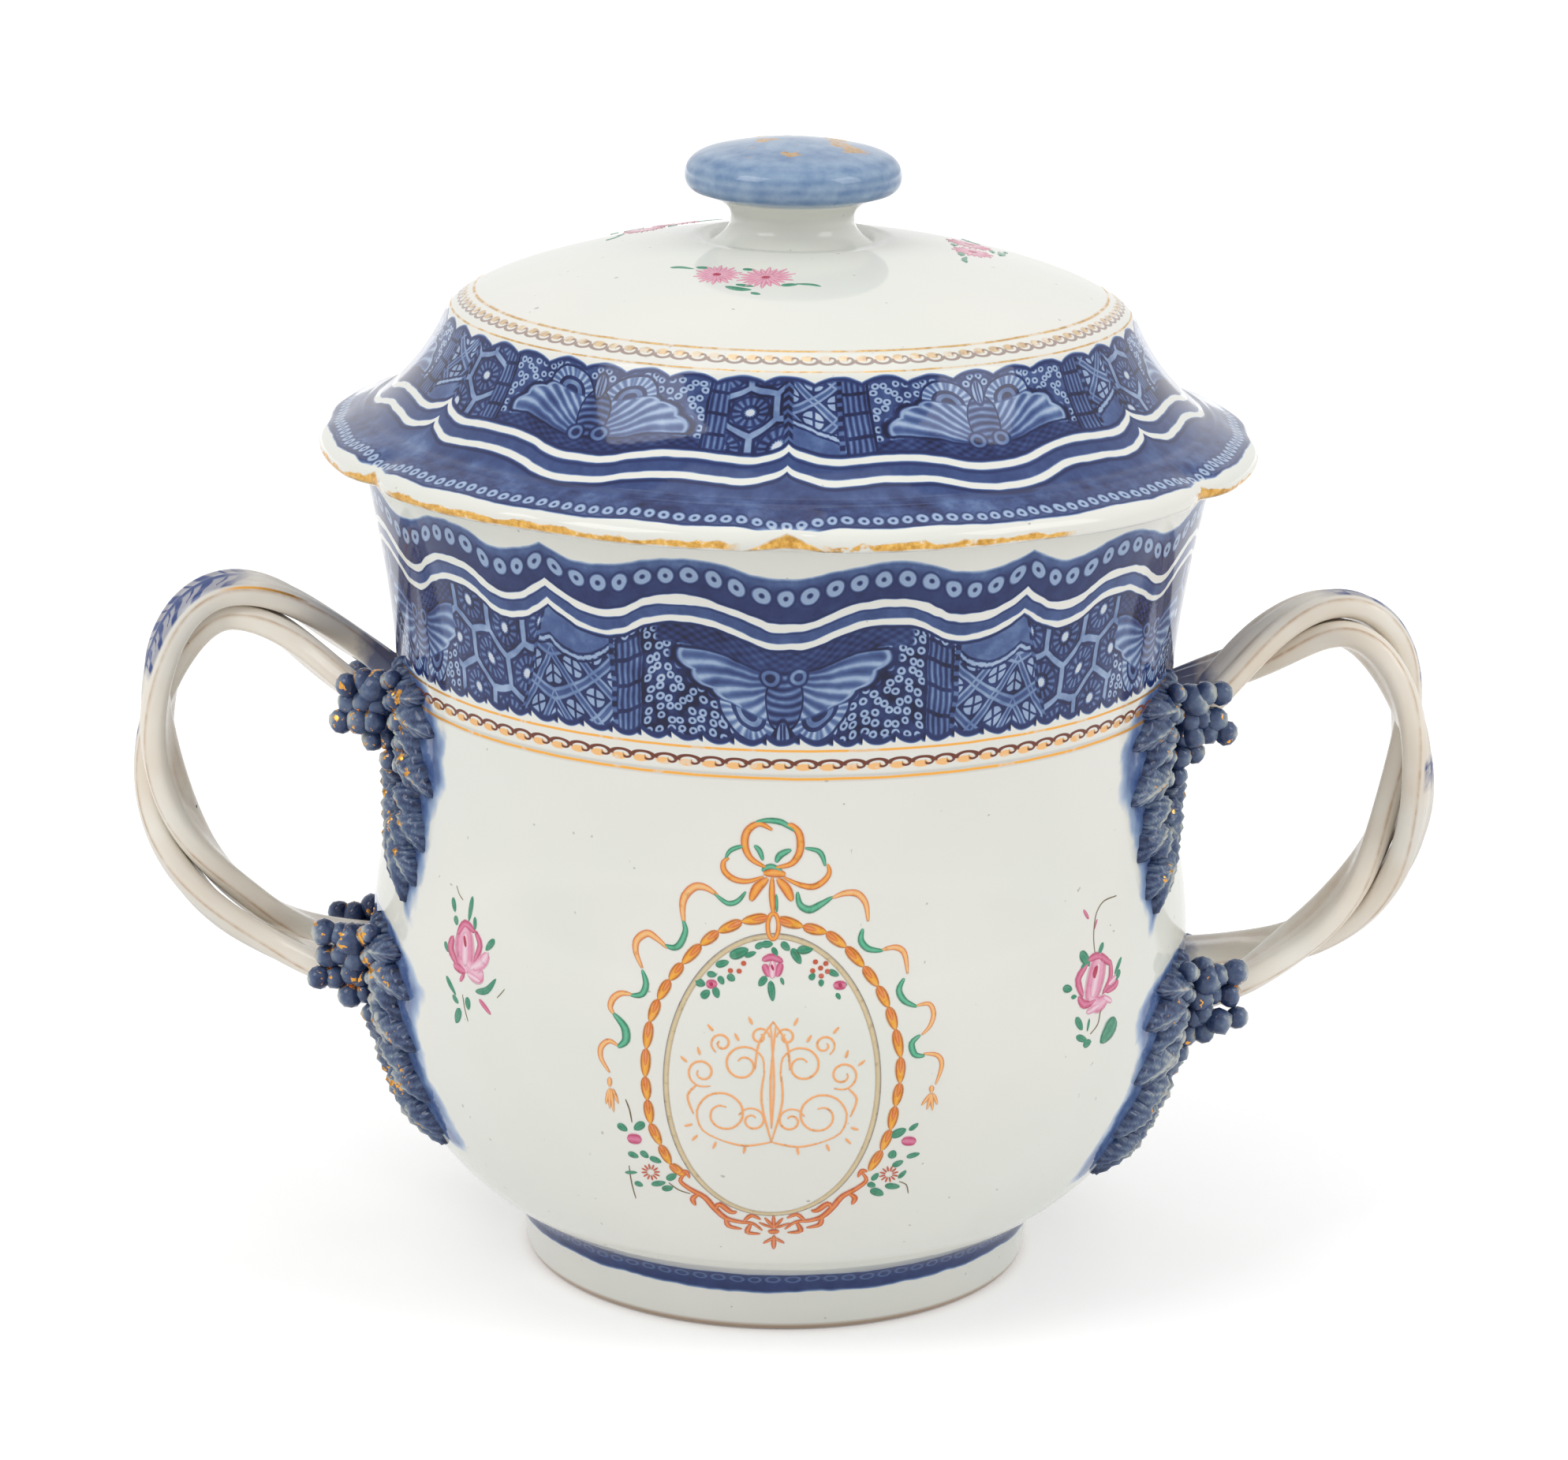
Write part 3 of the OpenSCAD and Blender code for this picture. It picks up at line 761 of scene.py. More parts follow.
def lobe_edge(turn):
    """How far the flange draws in at an angle from the front: a notch between lobes, a dip in each."""
    off = abs(turn - lobe_pitch * round(turn / lobe_pitch))
    from_middle = lobe_pitch / 2 - off
    return notch_depth * math.exp(-(off / 3.6) ** 2) + dip_depth * math.exp(-(from_middle / 5) ** 2)


def lobed(form):
    """Presses the notches into the flange's edge, fading out before the cover's wall."""
    for vert in form.verts:
        radius = math.hypot(vert.co.x, vert.co.y)
        share = (radius - cover_wall_radius - 1) / (flange_radius - cover_wall_radius - 3.2)
        if share > 0:
            turn = math.degrees(math.atan2(vert.co.x, -vert.co.y))
            scale = 1 - lobe_edge(turn) * min(share, 1) / radius
            vert.co.x *= scale
            vert.co.y *= scale
    return form


cover_run = 23
cover_line_height = 109.75
cover_hem_height = 119.1
cover_hem_scallops = 48
flange_waves = 30
flange_eyelets = 200
dome_upper_gilt = 121.7
dome_lower_gilt = 119.9
dome_scroll_height = 120.85
dome_scroll_radius = 42
dome_scroll_count = 118


def cover_paint():
    material, nodes, place, x, y, z, glaze = glazed("cover_porcelain_painted")
    unsteady = cloud_node(nodes, place, 5)
    wobble = Field(nodes, unsteady.outputs[0])
    shift = split(nodes, unsteady.outputs[1], "ShaderNodeSeparateColor")
    theta = from_front(x, y) + (shift[0] - 0.5)
    height = z + (shift[1] - 0.5) * 0.8
    radius = length(x, y)
    blots = cloud(nodes, place, 2.2, 3.0, 0.6)
    grain = cloud(nodes, place, 0.5, 2.0)
    tall = 30
    outline = [Vector((cover_wall_radius, 0))] + [p for p in dome[::6] if p.x > 20] + [Vector((0, tall))]
    outer = outer_face(radius, z - cup_height, outline, tall, -1.4)

    turn = abs(theta)
    lobe_number = (turn / lobe_pitch).math("FLOOR")
    right_side = theta.above(0, 0.01)
    parity = (lobe_number + right_side).math("FLOORED_MODULO", 2.0)
    lobe_is_trellis = parity.above(0.5, 0.01)
    share = abs((turn - lobe_pitch / 2).wrapped(lobe_pitch)) / (lobe_pitch / 2)
    u = share * cover_run
    crest = traced(share, [
        (0, 0.0), (0.06, 0.01), (0.15, 0.1), (0.28, 0.36), (0.42, 0.52), (0.56, 0.53), (0.7, 0.46),
        (0.8, 0.42), (0.9, 0.56), (1, 0.97)])
    line_height = crest * 2.5 + cover_line_height
    steady = z + (shift[1] - 0.5) * 0.4
    above = steady - line_height
    depth = (height - line_height - 0.5) * 1.4 + 0.7

    strength = painted_border(
        (blots - 0.5) * 0.5 + 0.66, u, depth, lobe_is_trellis, cover_run, 17.2, 16.0, depth * 0, blots)
    strength = blotched(strength, wobble, blots)
    scallop = abs(repeated(theta, cover_hem_scallops)) * 2.0
    hem = (height - cover_hem_height) + scallop * scallop * 0.7
    strength = laid(strength, 0.84, hem.above(-0.1, 0.3))
    strength = laid(strength, 0.0, hem.above(0.35, 0.3))
    strength = laid(strength, 0.66 + (blots - 0.5) * 0.3, above.below(0.5, 0.15))
    strength = laid(strength, 0.9, (above - 0.6).stroke(0.14, 0.2))
    strength = laid(strength, 0.84, (above + 0.6).stroke(0.12, 0.2))
    strength = laid(strength, 0.0, above.stroke(0.35, 0.16))
    strength = laid(strength, 0.0, (above + 1.95).stroke(0.33, 0.16))
    strength = laid(strength, 0.9, (above + 2.5).stroke(0.14, 0.2))
    strength = laid(strength, 0.6 + (blots - 0.5) * 0.6 + (wobble - 0.5), (above + 3.2).below(0, 0.8))

    # Eyelets near the scalloped edge of the flange's blue, then the white rim.
    flange_zone = radius.above(cover_wall_radius + 0.5, 0.1)
    lobe_wave = abs(repeated(theta, flange_waves))
    blue_edge = radius + lobe_wave * 0.7 + (wobble - 0.5) * 0.6
    ring_across = repeated(theta, flange_eyelets) * 1.75
    flange_strength = ring_row(
        0.64 + (blots - 0.5) * 0.9 + (wobble - 0.5) * 0.8, ring_across,
        (blue_edge - 54.3) * 0.95, 0.7, 0.88, 0.16)
    strength = laid(strength, flange_strength, flange_zone)
    strength = laid(strength, 0.84, (blue_edge - 55.5).stroke(0.14, 0.15) * flange_zone)
    strength = laid(strength, 0.0, (blue_edge - 55.7).above(0, 0.25))
    strength = laid(strength, 0.0, (z - (cup_height + flange_thickness)).below(-0.2, 0.3))

    strength = grained(strength, grain) * outer

    colour = ramp(strength, cobalt_stops)
    colour = flecked(nodes, place, colour, strength.below(0.05, 0.05))

    # The knob's head, washed in brushed bands of a paler, greyer blue; the neck below stays white.
    on_head = z.above(cup_height + knob_top - 6.9, 0.5) * radius.below(16, 0.1)
    bands = cloud(nodes, place, 3.0, 2.0)
    brushed_bands = ((z * 5.2) + bands * 3).sine() * 0.14 + blots * 1.2
    head = tinted(nodes, srgb(146, 167, 190), srgb(92, 122, 160), brushed_bands.above(0.6, 0.8))
    colour = tinted(nodes, colour, head, on_head)

    worn = cloud(nodes, place, 4.5, 3.0, 0.65)
    present = worn.above(0.45, 0.07)
    on_dome = z.within(cup_height + 12, cup_height + 22, 0.2) * radius.above(30, 0.2) * outer
    line_up = (z + 0.1 * wobble - dome_upper_gilt).stroke(0.07, 0.12)
    line_down = (z + 0.1 * wobble - dome_lower_gilt).stroke(0.07, 0.12)
    hook, fill = scroll(
        theta * math.radians(dome_scroll_radius), (z + 0.1 * shift[1] - dome_scroll_height) * -1.7,
        2 * math.pi * dome_scroll_radius / dome_scroll_count)
    gilding = line_up.most(line_down).most(fill * 0.6) * on_dome
    # Gold on the rim: a ragged band low on the edge, in long stretches, with a mound at each cusp.
    stretches = theta.within(-54, -6, 2).most(theta.within(4.5, 34, 2)).most(abs(theta).above(57, 3))
    band_top = 103.75 + (bands - 0.5) * 1.6
    rim_gold = height.above(102.95, 0.3) * (height - band_top).below(0, 0.2) * stretches
    peak = height + abs(theta.wrapped(lobe_pitch)) * 0.35 + (bands - 0.5) * 0.8
    mound = peak.below(104.5, 0.3) * height.above(102.9, 0.3)
    rim_gold = rim_gold.most(mound) * flange_zone
    mottle = cloud(nodes, place, 0.9, 3.0, 0.7)
    rim_worn = worn.above(0.36, 0.04) * mottle.above(0.33, 0.1)
    knob_gold = z.above(cup_height + knob_top - 1.2, 0.3) * radius.within(2, 11.5, 0.5)
    knob_worn = bands.above(0.58, 0.03) * mottle.above(0.4, 0.1)
    rim_metal = (rim_gold * rim_worn).most(knob_gold * knob_worn * 0.8)
    gold = (gilding * present).most(rim_metal)
    colour = tinted(nodes, colour, srgb(222, 190, 150), gilding * (1 - present) * 0.75)
    leaf_gold = tinted(nodes, srgb(226, 180, 98), srgb(176, 128, 58), mottle.above(0.52, 0.3))
    colour = tinted(nodes, colour, leaf_gold, gold)
    brown = hook * on_dome * 0.65
    colour = tinted(nodes, colour, srgb(108, 54, 36), brown)
    metal = gold * (1 - brown) * 0.9
    return finished(material, glaze, place, colour, metal, metal * 0.28 + 0.07)


fired(lobed(spun(cover_profile)), "cover_body", cover_paint(), "cover")

# The handles: on each side two reeded straps of rolled porcelain, wound once round each other while
# soft and stuck to the wall at both ends with slip. Their glaze pools brown in the reeds.
handle_reach = 77.3
reach_height = 64
crown = Vector((67.5, 82))
upper_root_height = 69
lower_root_height = 35.5
strap_width = 6
strap_thickness = 3.8
root_spread = 8.5
strap_rings = 190
wind_start = 0.03
wind_share = 0.86
section_points = 32


def wall_at(height):
    """The wall's outside radius at a height."""
    for low, high in zip(cup_outside, cup_outside[1:]):
        if low.y <= height <= high.y:
            return low.lerp(high, (height - low.y) / (high.y - low.y)).x
    return cup_outside[-1].x


upper_root = Vector((wall_at(upper_root_height) - 1.9, upper_root_height))
lower_root = Vector((wall_at(lower_root_height) - 2.1, lower_root_height))
far_point = Vector((handle_reach, reach_height))


def handle_line():
    points = [upper_root]
    points += curve_points(
        upper_root,
        upper_root + Vector((0.4 * (crown.x - upper_root.x), 0.36 * (crown.y - upper_root.y))),
        crown - Vector((0.3 * (crown.x - upper_root.x), 0)),
        crown,
        110)
    points += curve_points(
        crown,
        crown + Vector((0.6 * (handle_reach - crown.x), 0)),
        far_point + Vector((0, 0.56 * (crown.y - reach_height))),
        far_point,
        80)
    points += curve_points(
        far_point,
        far_point - Vector((0, 0.63 * (reach_height - lower_root.y))),
        lower_root + Vector((0.57 * (handle_reach - lower_root.x), 0.07 * (reach_height - lower_root.y))),
        lower_root,
        180)
    return points


def even_steps(points, count):
    """The same line walked in equal steps, each with its direction."""
    way = [0]
    for a, b in zip(points, points[1:]):
        way.append(way[-1] + (b - a).length)
    stations = []
    j = 0
    for i in range(count + 1):
        goal = way[-1] * i / count
        while j < len(points) - 2 and way[j + 1] < goal:
            j += 1
        share = (goal - way[j]) / (way[j + 1] - way[j])
        stations.append((points[j].lerp(points[j + 1], share), (points[j + 1] - points[j]).normalized()))
    return stations


def strap_section(turn):
    """A strap's outline: broad outer face with three reeds, soft sides, a shallow trough inside."""
    x = math.cos(turn)
    y = math.sin(turn)
    thick = strap_thickness / 2
    wide = strap_width / 2
    px = thick * math.copysign(abs(x) ** 0.62, x)
    py = wide * math.copysign(abs(y) ** 0.8, y)
    if x > 0.1:
        px -= 0.3 * (0.5 - 0.5 * math.cos(6 * math.pi * py / strap_width)) * min(1, (x - 0.1) * 2)
    elif x < -0.1:
        px += 0.45 * (0.5 + 0.5 * math.cos(2 * math.pi * py / strap_width)) * min(1, (-x - 0.1) * 2)
    return px, py


def strap(form, leads, layers):
    """Winds one strap: leads is 1 for the one that starts in front and -1 for the other."""
    ring = bmesh.ops.create_circle(form, segments=section_points, radius=1)["verts"]
    turns = [math.atan2(v.co.y, v.co.x) for v in ring]
    edges = list({e for v in ring for e in v.link_edges})
    stations = even_steps(handle_line(), strap_rings)
    for i, (point, along) in enumerate(stations):
        if i:
            grown = bmesh.ops.extrude_edge_only(form, edges=edges)["geom"]
            new_verts = [g for g in grown if isinstance(g, bmesh.types.BMVert)]
            edges = [g for g in grown if isinstance(g, bmesh.types.BMEdge)]
            # The new ring comes back in no set order, so each vertex is matched to the one it left.
            ahead = {}
            for vert in new_verts:
                for edge in vert.link_edges:
                    other = edge.other_vert(vert)
                    if other in turn_of:
                        ahead[vert] = turn_of[other]
            turn_of = ahead
        else:
            turn_of = dict(zip(ring, turns))
            bmesh.ops.contextual_create(form, geom=edges)
        share = i / strap_rings
        wound = 2 * math.pi * min(max((share - wind_start) / wind_share, 0), 1)
        near = max(0, 1 - share / 0.24, 1 - (1 - share) / 0.2)
        spread = 0.49 * strap_width + (root_spread - 0.49 * strap_width) * near * near * (3 - 2 * near)
        lean = math.radians(-22) * math.sin(2 * wound)
        rise = leads * 0.45 * strap_thickness * math.sin(wound)
        across = -leads * spread * math.cos(wound)
        outward = Vector((-along.y, along.x))
        for vert, turn in turn_of.items():
            px, py = strap_section(turn)
            x = px * math.cos(lean) - py * math.sin(lean) + rise
            y = px * math.sin(lean) + py * math.cos(lean) + across
            vert.co = (point.x + x * outward.x, y, point.y + x * outward.y)
            vert[layers[0]] = share
            vert[layers[1]] = turn / math.pi
            vert[layers[2]] = leads
    bmesh.ops.contextual_create(form, geom=edges)


def attribute(nodes, name):
    """A number that the form carries at each of its points."""
    node = nodes.new("ShaderNodeAttribute")
    node.attribute_name = name
    return Field(nodes, node.outputs["Fac"])


def strap_paint():
    material, nodes, place, x, y, z, glaze = glazed("strap_glaze")
    share, turn, strand = [attribute(nodes, name) for name in ("share", "turn", "strand")]
    turn = abs(turn)
    outer_strap = ((share - wind_start) * (2 * math.pi / wind_share)).sine() * strand
    blots = cloud(nodes, place, 3.0, 3.0, 0.6)
    soft = cloud(nodes, place, 11.0, 2.0)
    colour = tinted(nodes, srgb(222, 210, 193), srgb(232, 227, 216), soft.above(0.5, 0.4))
    face = turn.below(0.4, 0.06)
    cool = face * outer_strap.above(0.3, 0.8) * (soft + 0.25).least(1) * 0.3
    colour = tinted(nodes, colour, srgb(190, 194, 194), cool)
    # Brown glaze gathers in the reeds and along the corners of the face.
    groove = (turn - 0.13).stroke(0.025, 0.05) * 0.45
    corner = (turn - 0.4).stroke(0.03, 0.06) * 0.8
    trough = turn.above(0.9, 0.1) * 0.3
    pooled = (groove + corner + trough) * (blots * 2.4 - 0.55).math("ADD", 0, clamp=True)
    colour = tinted(nodes, colour, srgb(176, 138, 98), pooled)
    speck = cloud(nodes, place, 1.6, 1.0)
    colour = tinted(nodes, colour, srgb(40, 38, 42), speck.above(0.81, 0.015))
    # A chain of leaves is painted in blue down the face, with gold beside its top on one handle.
    spot = (share * 31).math("FLOORED_MODULO", 1.0) - 0.5
    chevron = (spot - turn * 1.9 + 0.3).stroke(0.17, 0.08).most((turn - 0.005).stroke(0.025, 0.02))
    vein = chevron.most((spot - turn * 1.9 - 0.15).stroke(0.05, 0.04))
    chain_zone = share.within(0.27, 0.53, 0.03) * outer_strap.above(0.3, 0.1) * turn.below(0.28, 0.04)
    blue = chain_zone * laid(0.55, 1.0, vein) * (blots + 0.6).least(1)
    colour = tinted(nodes, colour, srgb(54, 72, 124), blue)
    radius = length(x, y)
    ends = (radius + (blots - 0.5) * 3).below(52.0, 2.0)
    colour = tinted(nodes, colour, srgb(62, 80, 126), ends * 0.85)
    worn = cloud(nodes, place, 3.5, 3.0, 0.65)
    gold = share.within(0.2, 0.28, 0.02) * outer_strap.above(0.2, 0.2) * (turn - 0.34).stroke(0.03, 0.03)
    gold = gold * worn.above(0.42, 0.05) * x.below(0, 0.1)
    colour = tinted(nodes, colour, gold_colour, gold)
    return finished(material, glaze, place, colour, gold * 0.9, gold * 0.2 + 0.15, 5, 0.06, 0.01)


def doubled(form):
    """Copies everything in a form in place, and gives the copy's points."""
    copy = bmesh.ops.duplicate(form, geom=form.verts[:] + form.edges[:] + form.faces[:])["geom"]
    return [g for g in copy if isinstance(g, bmesh.types.BMVert)]


def half_turned(form):
    """Repeats a form on the other side of the upright axis."""
    half_turn = Matrix.Rotation(math.pi, 3, "Z")
    bmesh.ops.rotate(form, cent=(0, 0, 0), matrix=half_turn, verts=doubled(form))
    return form


def handles():
    form = bmesh.new()
    layers = [form.verts.layers.float.new(name) for name in ("share", "turn", "strand")]
    for leads in (1, -1):
        strap(form, leads, layers)
    half_turned(form)
    bmesh.ops.recalc_face_normals(form, faces=form.faces)
    return form


fired(handles(), "cup_handles", strap_paint(), "cup")

# The sprigs: bunches of berries and overlapping leaves, each pressed in a mould and stuck over the
# ends of the straps with slip. They are blue under the glaze, with worn gilding on what stands proud.
sprig_angle = 17
sprig_rise = 9
sprig_length = 28
sprig_lean = 8.5
sprig_stagger = 3
berry_radius = 1.5
leaf_length = 10
leaf_width = 4.6
leaf_proud = 2.2


def measured(outline):
    """An outline with the distance along it to each of its points."""
    way = [0]
    for low, high in zip(outline, outline[1:]):
        way.append(way[-1] + (high - low).length)
    return outline, way


cup_wall = measured(cup_outside)


def way_at(height):
    outline, way = cup_wall
    for i, (low, high) in enumerate(zip(outline, outline[1:])):
        if low.y <= height <= high.y:
            return way[i] + (high - low).length * (height - low.y) / (high.y - low.y)
    return way[-1]


def on_wall(u, v, proud, middle, surface=cup_wall):
    """A place on a wall: u along it from an angle, v up it from its foot, proud of it by so much."""
    outline, way = surface
    i = min(max(bisect.bisect_right(way, v) - 1, 0), len(way) - 2)
    share = (v - way[i]) / (way[i + 1] - way[i])
    point = outline[i].lerp(outline[i + 1], share)
    slope = (outline[i + 1] - outline[i]).normalized()
    turn = math.radians(middle) + u / point.x
    reach = point.x + proud * slope.y
    return Vector((reach * math.cos(turn), reach * math.sin(turn), point.y - proud * slope.x))


def leaf(form, height, u, v, size, width, lean, layers, dice):
    """One pressed leaf: a cupped blade with a midrib and side veins, its underside in the wall."""
    blade = bmesh.ops.create_grid(form, x_segments=12, y_segments=24, size=0.5)["verts"]
    lean = math.radians(lean + dice.uniform(-4, 4))
    curl = dice.uniform(-0.25, 0.25)
    for vert in blade:
        side_share = vert.co.x * 2
        s = vert.co.y + 0.5
        half = width / 2 * math.sin(math.pi * min(1, s * 0.97 + 0.02) ** 0.75) + 0.1
        top = 0.4 + (height - 0.4) * math.sin(math.pi * (s * 0.96 + 0.02) ** 0.6)
        vein = 0.2 * math.cos(2 * math.pi * (s * 6 - abs(side_share) * 1.4))
        rib = 0.42 * math.exp(-(side_share / 0.13) ** 2)
        crown_share = 1 - 0.62 * side_share ** 2
        lift = top * crown_share + (vein * (1 - side_share ** 4) + rib) * (0.4 + 0.6 * (1 - s))
        if abs(side_share) > 0.99 or s < 0.01 or s > 0.99:
            lift = -0.6
        ripple = 1 + 0.14 * math.sin(s * 24) * (abs(side_share) > 0.5)
        w = side_share * half * ripple + curl * s * (1 - s) * width
        vert.co = on_wall(
            u + size * s * math.sin(lean) + w * math.cos(lean),
            v - size * s * math.cos(lean) + w * math.sin(lean),
            lift, -sprig_angle)
        # The leaf's tone is stored with it. It is darker down towards the wall, partly from blue pooling
        # there and partly as painted shade. It is lighter on the veins and midrib, partly as painted
        # highlight.
        vert[layers[0]] = max(0, lift / (height + 0.6))
        fold = 0.5 + 0.5 * math.cos(2 * math.pi * (s * 6 - abs(side_share) * 1.4))
        vert[layers[1]] = max(fold * (0.4 + 0.6 * abs(side_share)), math.exp(-(side_share / 0.16) ** 2))


def sprig_middle(share):
    return 0.1 * leaf_length - sprig_lean * share


def berry(form, u, v, lift, size, layers):
    centre = on_wall(u, v, lift, -sprig_angle)
    ball = bmesh.ops.create_icosphere(form, subdivisions=2, radius=size)["verts"]
    outward = Vector((centre.x, centre.y, 4)).normalized()
    for vert in ball:
        facing = vert.co.normalized().dot(outward)
        # Each berry is painted lighter on the side that faces out from the wall, with a small pale painted
        # highlight there. It is painted darker towards the wall as painted shade.
        vert[layers[0]] = 0.55 + 0.4 * facing
        vert[layers[1]] = max(0, facing) ** 3
        vert.co *= 1 + 0.16 * noise.noise(vert.co * 0.9 + centre)
    bmesh.ops.translate(form, vec=centre, verts=ball)


def sprig_leaves(form, top, layers, dice):
    """The overlapping leaves down a sprig: broad ones to both sides, small ones between, one at the tip."""
    for row in range(3):
        leaf(
            form, leaf_proud * dice.uniform(0.9, 1),
            sprig_middle(0.17 + 0.22 * row), top - sprig_length * (0.17 + 0.22 * row),
            leaf_length * (1 - 0.15 * row), leaf_width * (1 - 0.1 * row), 9 * row - 78, layers, dice)
        leaf(
            form, leaf_proud * dice.uniform(0.9, 1),
            sprig_middle(0.43 + 0.11 * row) + leaf_length * (0.66 - 0.165 * row),
            top - sprig_length * (0.43 + 0.11 * row),
            0.85 * leaf_length, 0.85 * leaf_width, 8 - 10 * row, layers, dice)
    for along, aside, size, lean in (
            (0.12, 0.0, 0.8, -98), (0.22, 0.1, 0.85, -56), (0.33, 0.1, 0.85, -36), (0.5, 0.1, 0.75, -50),
            (0.62, 0.15, 0.72, -28), (0.76, 0.05, 0.62, -46)):
        leaf(
            form, leaf_proud * dice.uniform(0.85, 1.05),
            sprig_middle(along) + aside * leaf_length, top - sprig_length * along,
            size * leaf_length, size * leaf_width, lean, layers, dice)
    for lean in (-150, -190):
        leaf(
            form, leaf_proud * 0.9, 0.08 * leaf_length, top - 0.17 * sprig_length,
            0.55 * leaf_length, 0.75 * leaf_width, lean, layers, dice)
    end_leaf = 0.9 * leaf_length
    lean = math.radians(28)
    leaf(
        form, leaf_proud, sprig_middle(1) + end_leaf * math.sin(lean),
        top - sprig_length + end_leaf * math.cos(lean), end_leaf, 0.85 * leaf_width, -28, layers, dice)


def sprig_berries(form, top, layers, dice, rows):
    """The bunch of berries at a strap's end, pressed close together over a plain lump of clay."""
    for row in rows:
        for k in range((3, 3, 3, 2, 1)[row]):
            berry(
                form,
                berry_radius * (1.6 + 0.47 * k + dice.uniform(-0.3, 0.3)),
                top - berry_radius * (1.73 + 1.67 * row + dice.uniform(-0.3, 0.3)),
                berry_radius * (2 - 0.2 * row + 1.25 * k + (0.9 if row == 2 else 0) - 0.3 * dice.random()),
                berry_radius * (1.16 - 0.03 * row) * dice.uniform(0.88, 1.04),
                layers)
        for aside in (0.1, -0.9):
            berry(
                form, berry_radius * (aside - 0.25 * row),
                top - berry_radius * (1.3 + 1.7 * row + aside * 0.5),
                berry_radius * (1.25 - 0.15 * row), berry_radius * dice.uniform(0.75, 0.95), layers)
        lump = berry_radius * (2.2 - 0.3 * row)
        berry(form, berry_radius * 1.7, top - berry_radius * (2.2 + 1.5 * row), lump, lump * 0.68, layers)


def backed(form, inward, down=0):
    """Closes thin shapes with a back set a little inward, towards the axis, and down."""
    fronts = form.faces[:]
    grown = bmesh.ops.extrude_face_region(form, geom=fronts, use_keep_orig=True)["geom"]
    backs = [g for g in grown if isinstance(g, bmesh.types.BMVert)]
    for vert in backs:
        nearer = 1 - inward / math.hypot(vert.co.x, vert.co.y)
        vert.co = (vert.co.x * nearer, vert.co.y * nearer, vert.co.z - down)
    bmesh.ops.recalc_face_normals(form, faces=form.faces)


def sprigs(stagger, side):
    """The four sprigs of one handle: an upper and a lower one, then the same mirrored to the back.
    The bunches at the back, which hide behind the straps, have fewer berries."""
    form = bmesh.new()
    # The points carry how proud they stand and their ridges and highlights. The sprig's glaze turns these
    # into painted shade and painted highlight.
    layers = [form.verts.layers.float.new(name) for name in ("proud", "ridge_and_highlight")]
    dice = random.Random(8 + side)
    tops = [way_at(upper_root_height + sprig_rise), way_at(lower_root_height + sprig_rise + stagger)]
    for top in tops:
        sprig_leaves(form, top, layers, dice)
    backed(form, 0.5)
    for top in tops:
        sprig_berries(form, top, layers, dice, (2, 3, 4))
    bmesh.ops.scale(form, vec=(1, -1, 1), verts=doubled(form))
    for top in tops:
        sprig_berries(form, top, layers, dice, (0, 1))
    bmesh.ops.scale(form, vec=(side, 1, 1), verts=form.verts[:])
    bmesh.ops.recalc_face_normals(form, faces=form.faces)
    return form


def sprig_paint():
    material, nodes, place, x, y, z, glaze = glazed("sprig_glaze")
    proud, ridge_and_highlight = [attribute(nodes, name) for name in ("proud", "ridge_and_highlight")]
    blots = cloud(nodes, place, 2.0, 3.0, 0.6)
    soft = cloud(nodes, place, 7.0, 2.0)
    # The tone lays painted light and shade over the blue. It is dark where the sprig meets the wall and pale
    # on the veins and on the berries' outer sides. Part of this is the blue pooling in hollows and thinning
    # over the relief, and part is painted shade and painted highlight.
    tone = proud * 0.46 + ridge_and_highlight * 0.46 + (blots - 0.5) * 0.8 + (soft - 0.5) * 0.6
    colour = ramp(tone, [
        (0.0, srgb(22, 32, 62)), (0.22, srgb(48, 62, 96)), (0.42, srgb(76, 92, 124)),
        (0.6, srgb(108, 123, 144)), (0.82, srgb(176, 180, 176))])
    worn = cloud(nodes, place, 1.9, 3.0, 0.7)
    left = x.below(0, 0.1)
    gold = (worn + proud * 0.12 + left * 0.05).above(0.74, 0.025) * proud.above(0.5, 0.1)
    colour = tinted(nodes, colour, gold_colour, gold)
    return finished(material, glaze, place, colour, gold * 0.9, gold * 0.25 + 0.08, 3, 0.08, 0.01)


sprig_glaze = sprig_paint()
fired(sprigs(-0.5 * sprig_stagger, 1), "cup_sprigs_right", sprig_glaze, "cup")
fired(sprigs(0.5 * sprig_stagger, -1), "cup_sprigs_left", sprig_glaze, "cup")

# The painted frame on the cup's front and back: an oval gilt ring hung from a bow by a chain of
# husks, with ribbons, tassels, a leafy bracket and a garland, brushed in enamels over the glaze and
# fired on thinly. Within the ring stands a plain scrolling spray.
def path_at(path, share):
    """A place on the smooth line through a few points, and the way the line runs there."""
    t = min(share * (len(path) - 1), len(path) - 1.0001)
    i = int(t)
    f = t - i
    a, b, c, d = (path[min(max(k, 0), len(path) - 1)] for k in (i - 1, i, i + 1, i + 2))
    bend = 2 * a - 5 * b + 4 * c - d
    twist = 3 * b - a - 3 * c + d
    place = b + ((c - a) * f + bend * f * f + twist * f ** 3) / 2
    heading = (c - a) / 2 + bend * f + twist * (1.5 * f * f)
    return place, heading.normalized() if heading.length > 0 else (c - b).normalized()


def ribbon_shape(share):
    return 0.3 + 0.7 * math.sin(math.pi * share) ** 0.8


def leaf_shape(share):
    return math.sin(math.pi * (0.03 + 0.94 * share) ** 0.85) ** 0.75


def petal_shape(share):
    return math.sqrt(max(0.02, 1 - (2 * share - 1) ** 2))


def line_shape(share):
    return 0.55 + 0.45 * math.sin(math.pi * share) ** 0.5


def ink(edge, outline, body, light):
    """The colours across a stroke, from one edge over its middle to the other."""
    return [edge, outline, body, light, body, outline, edge]


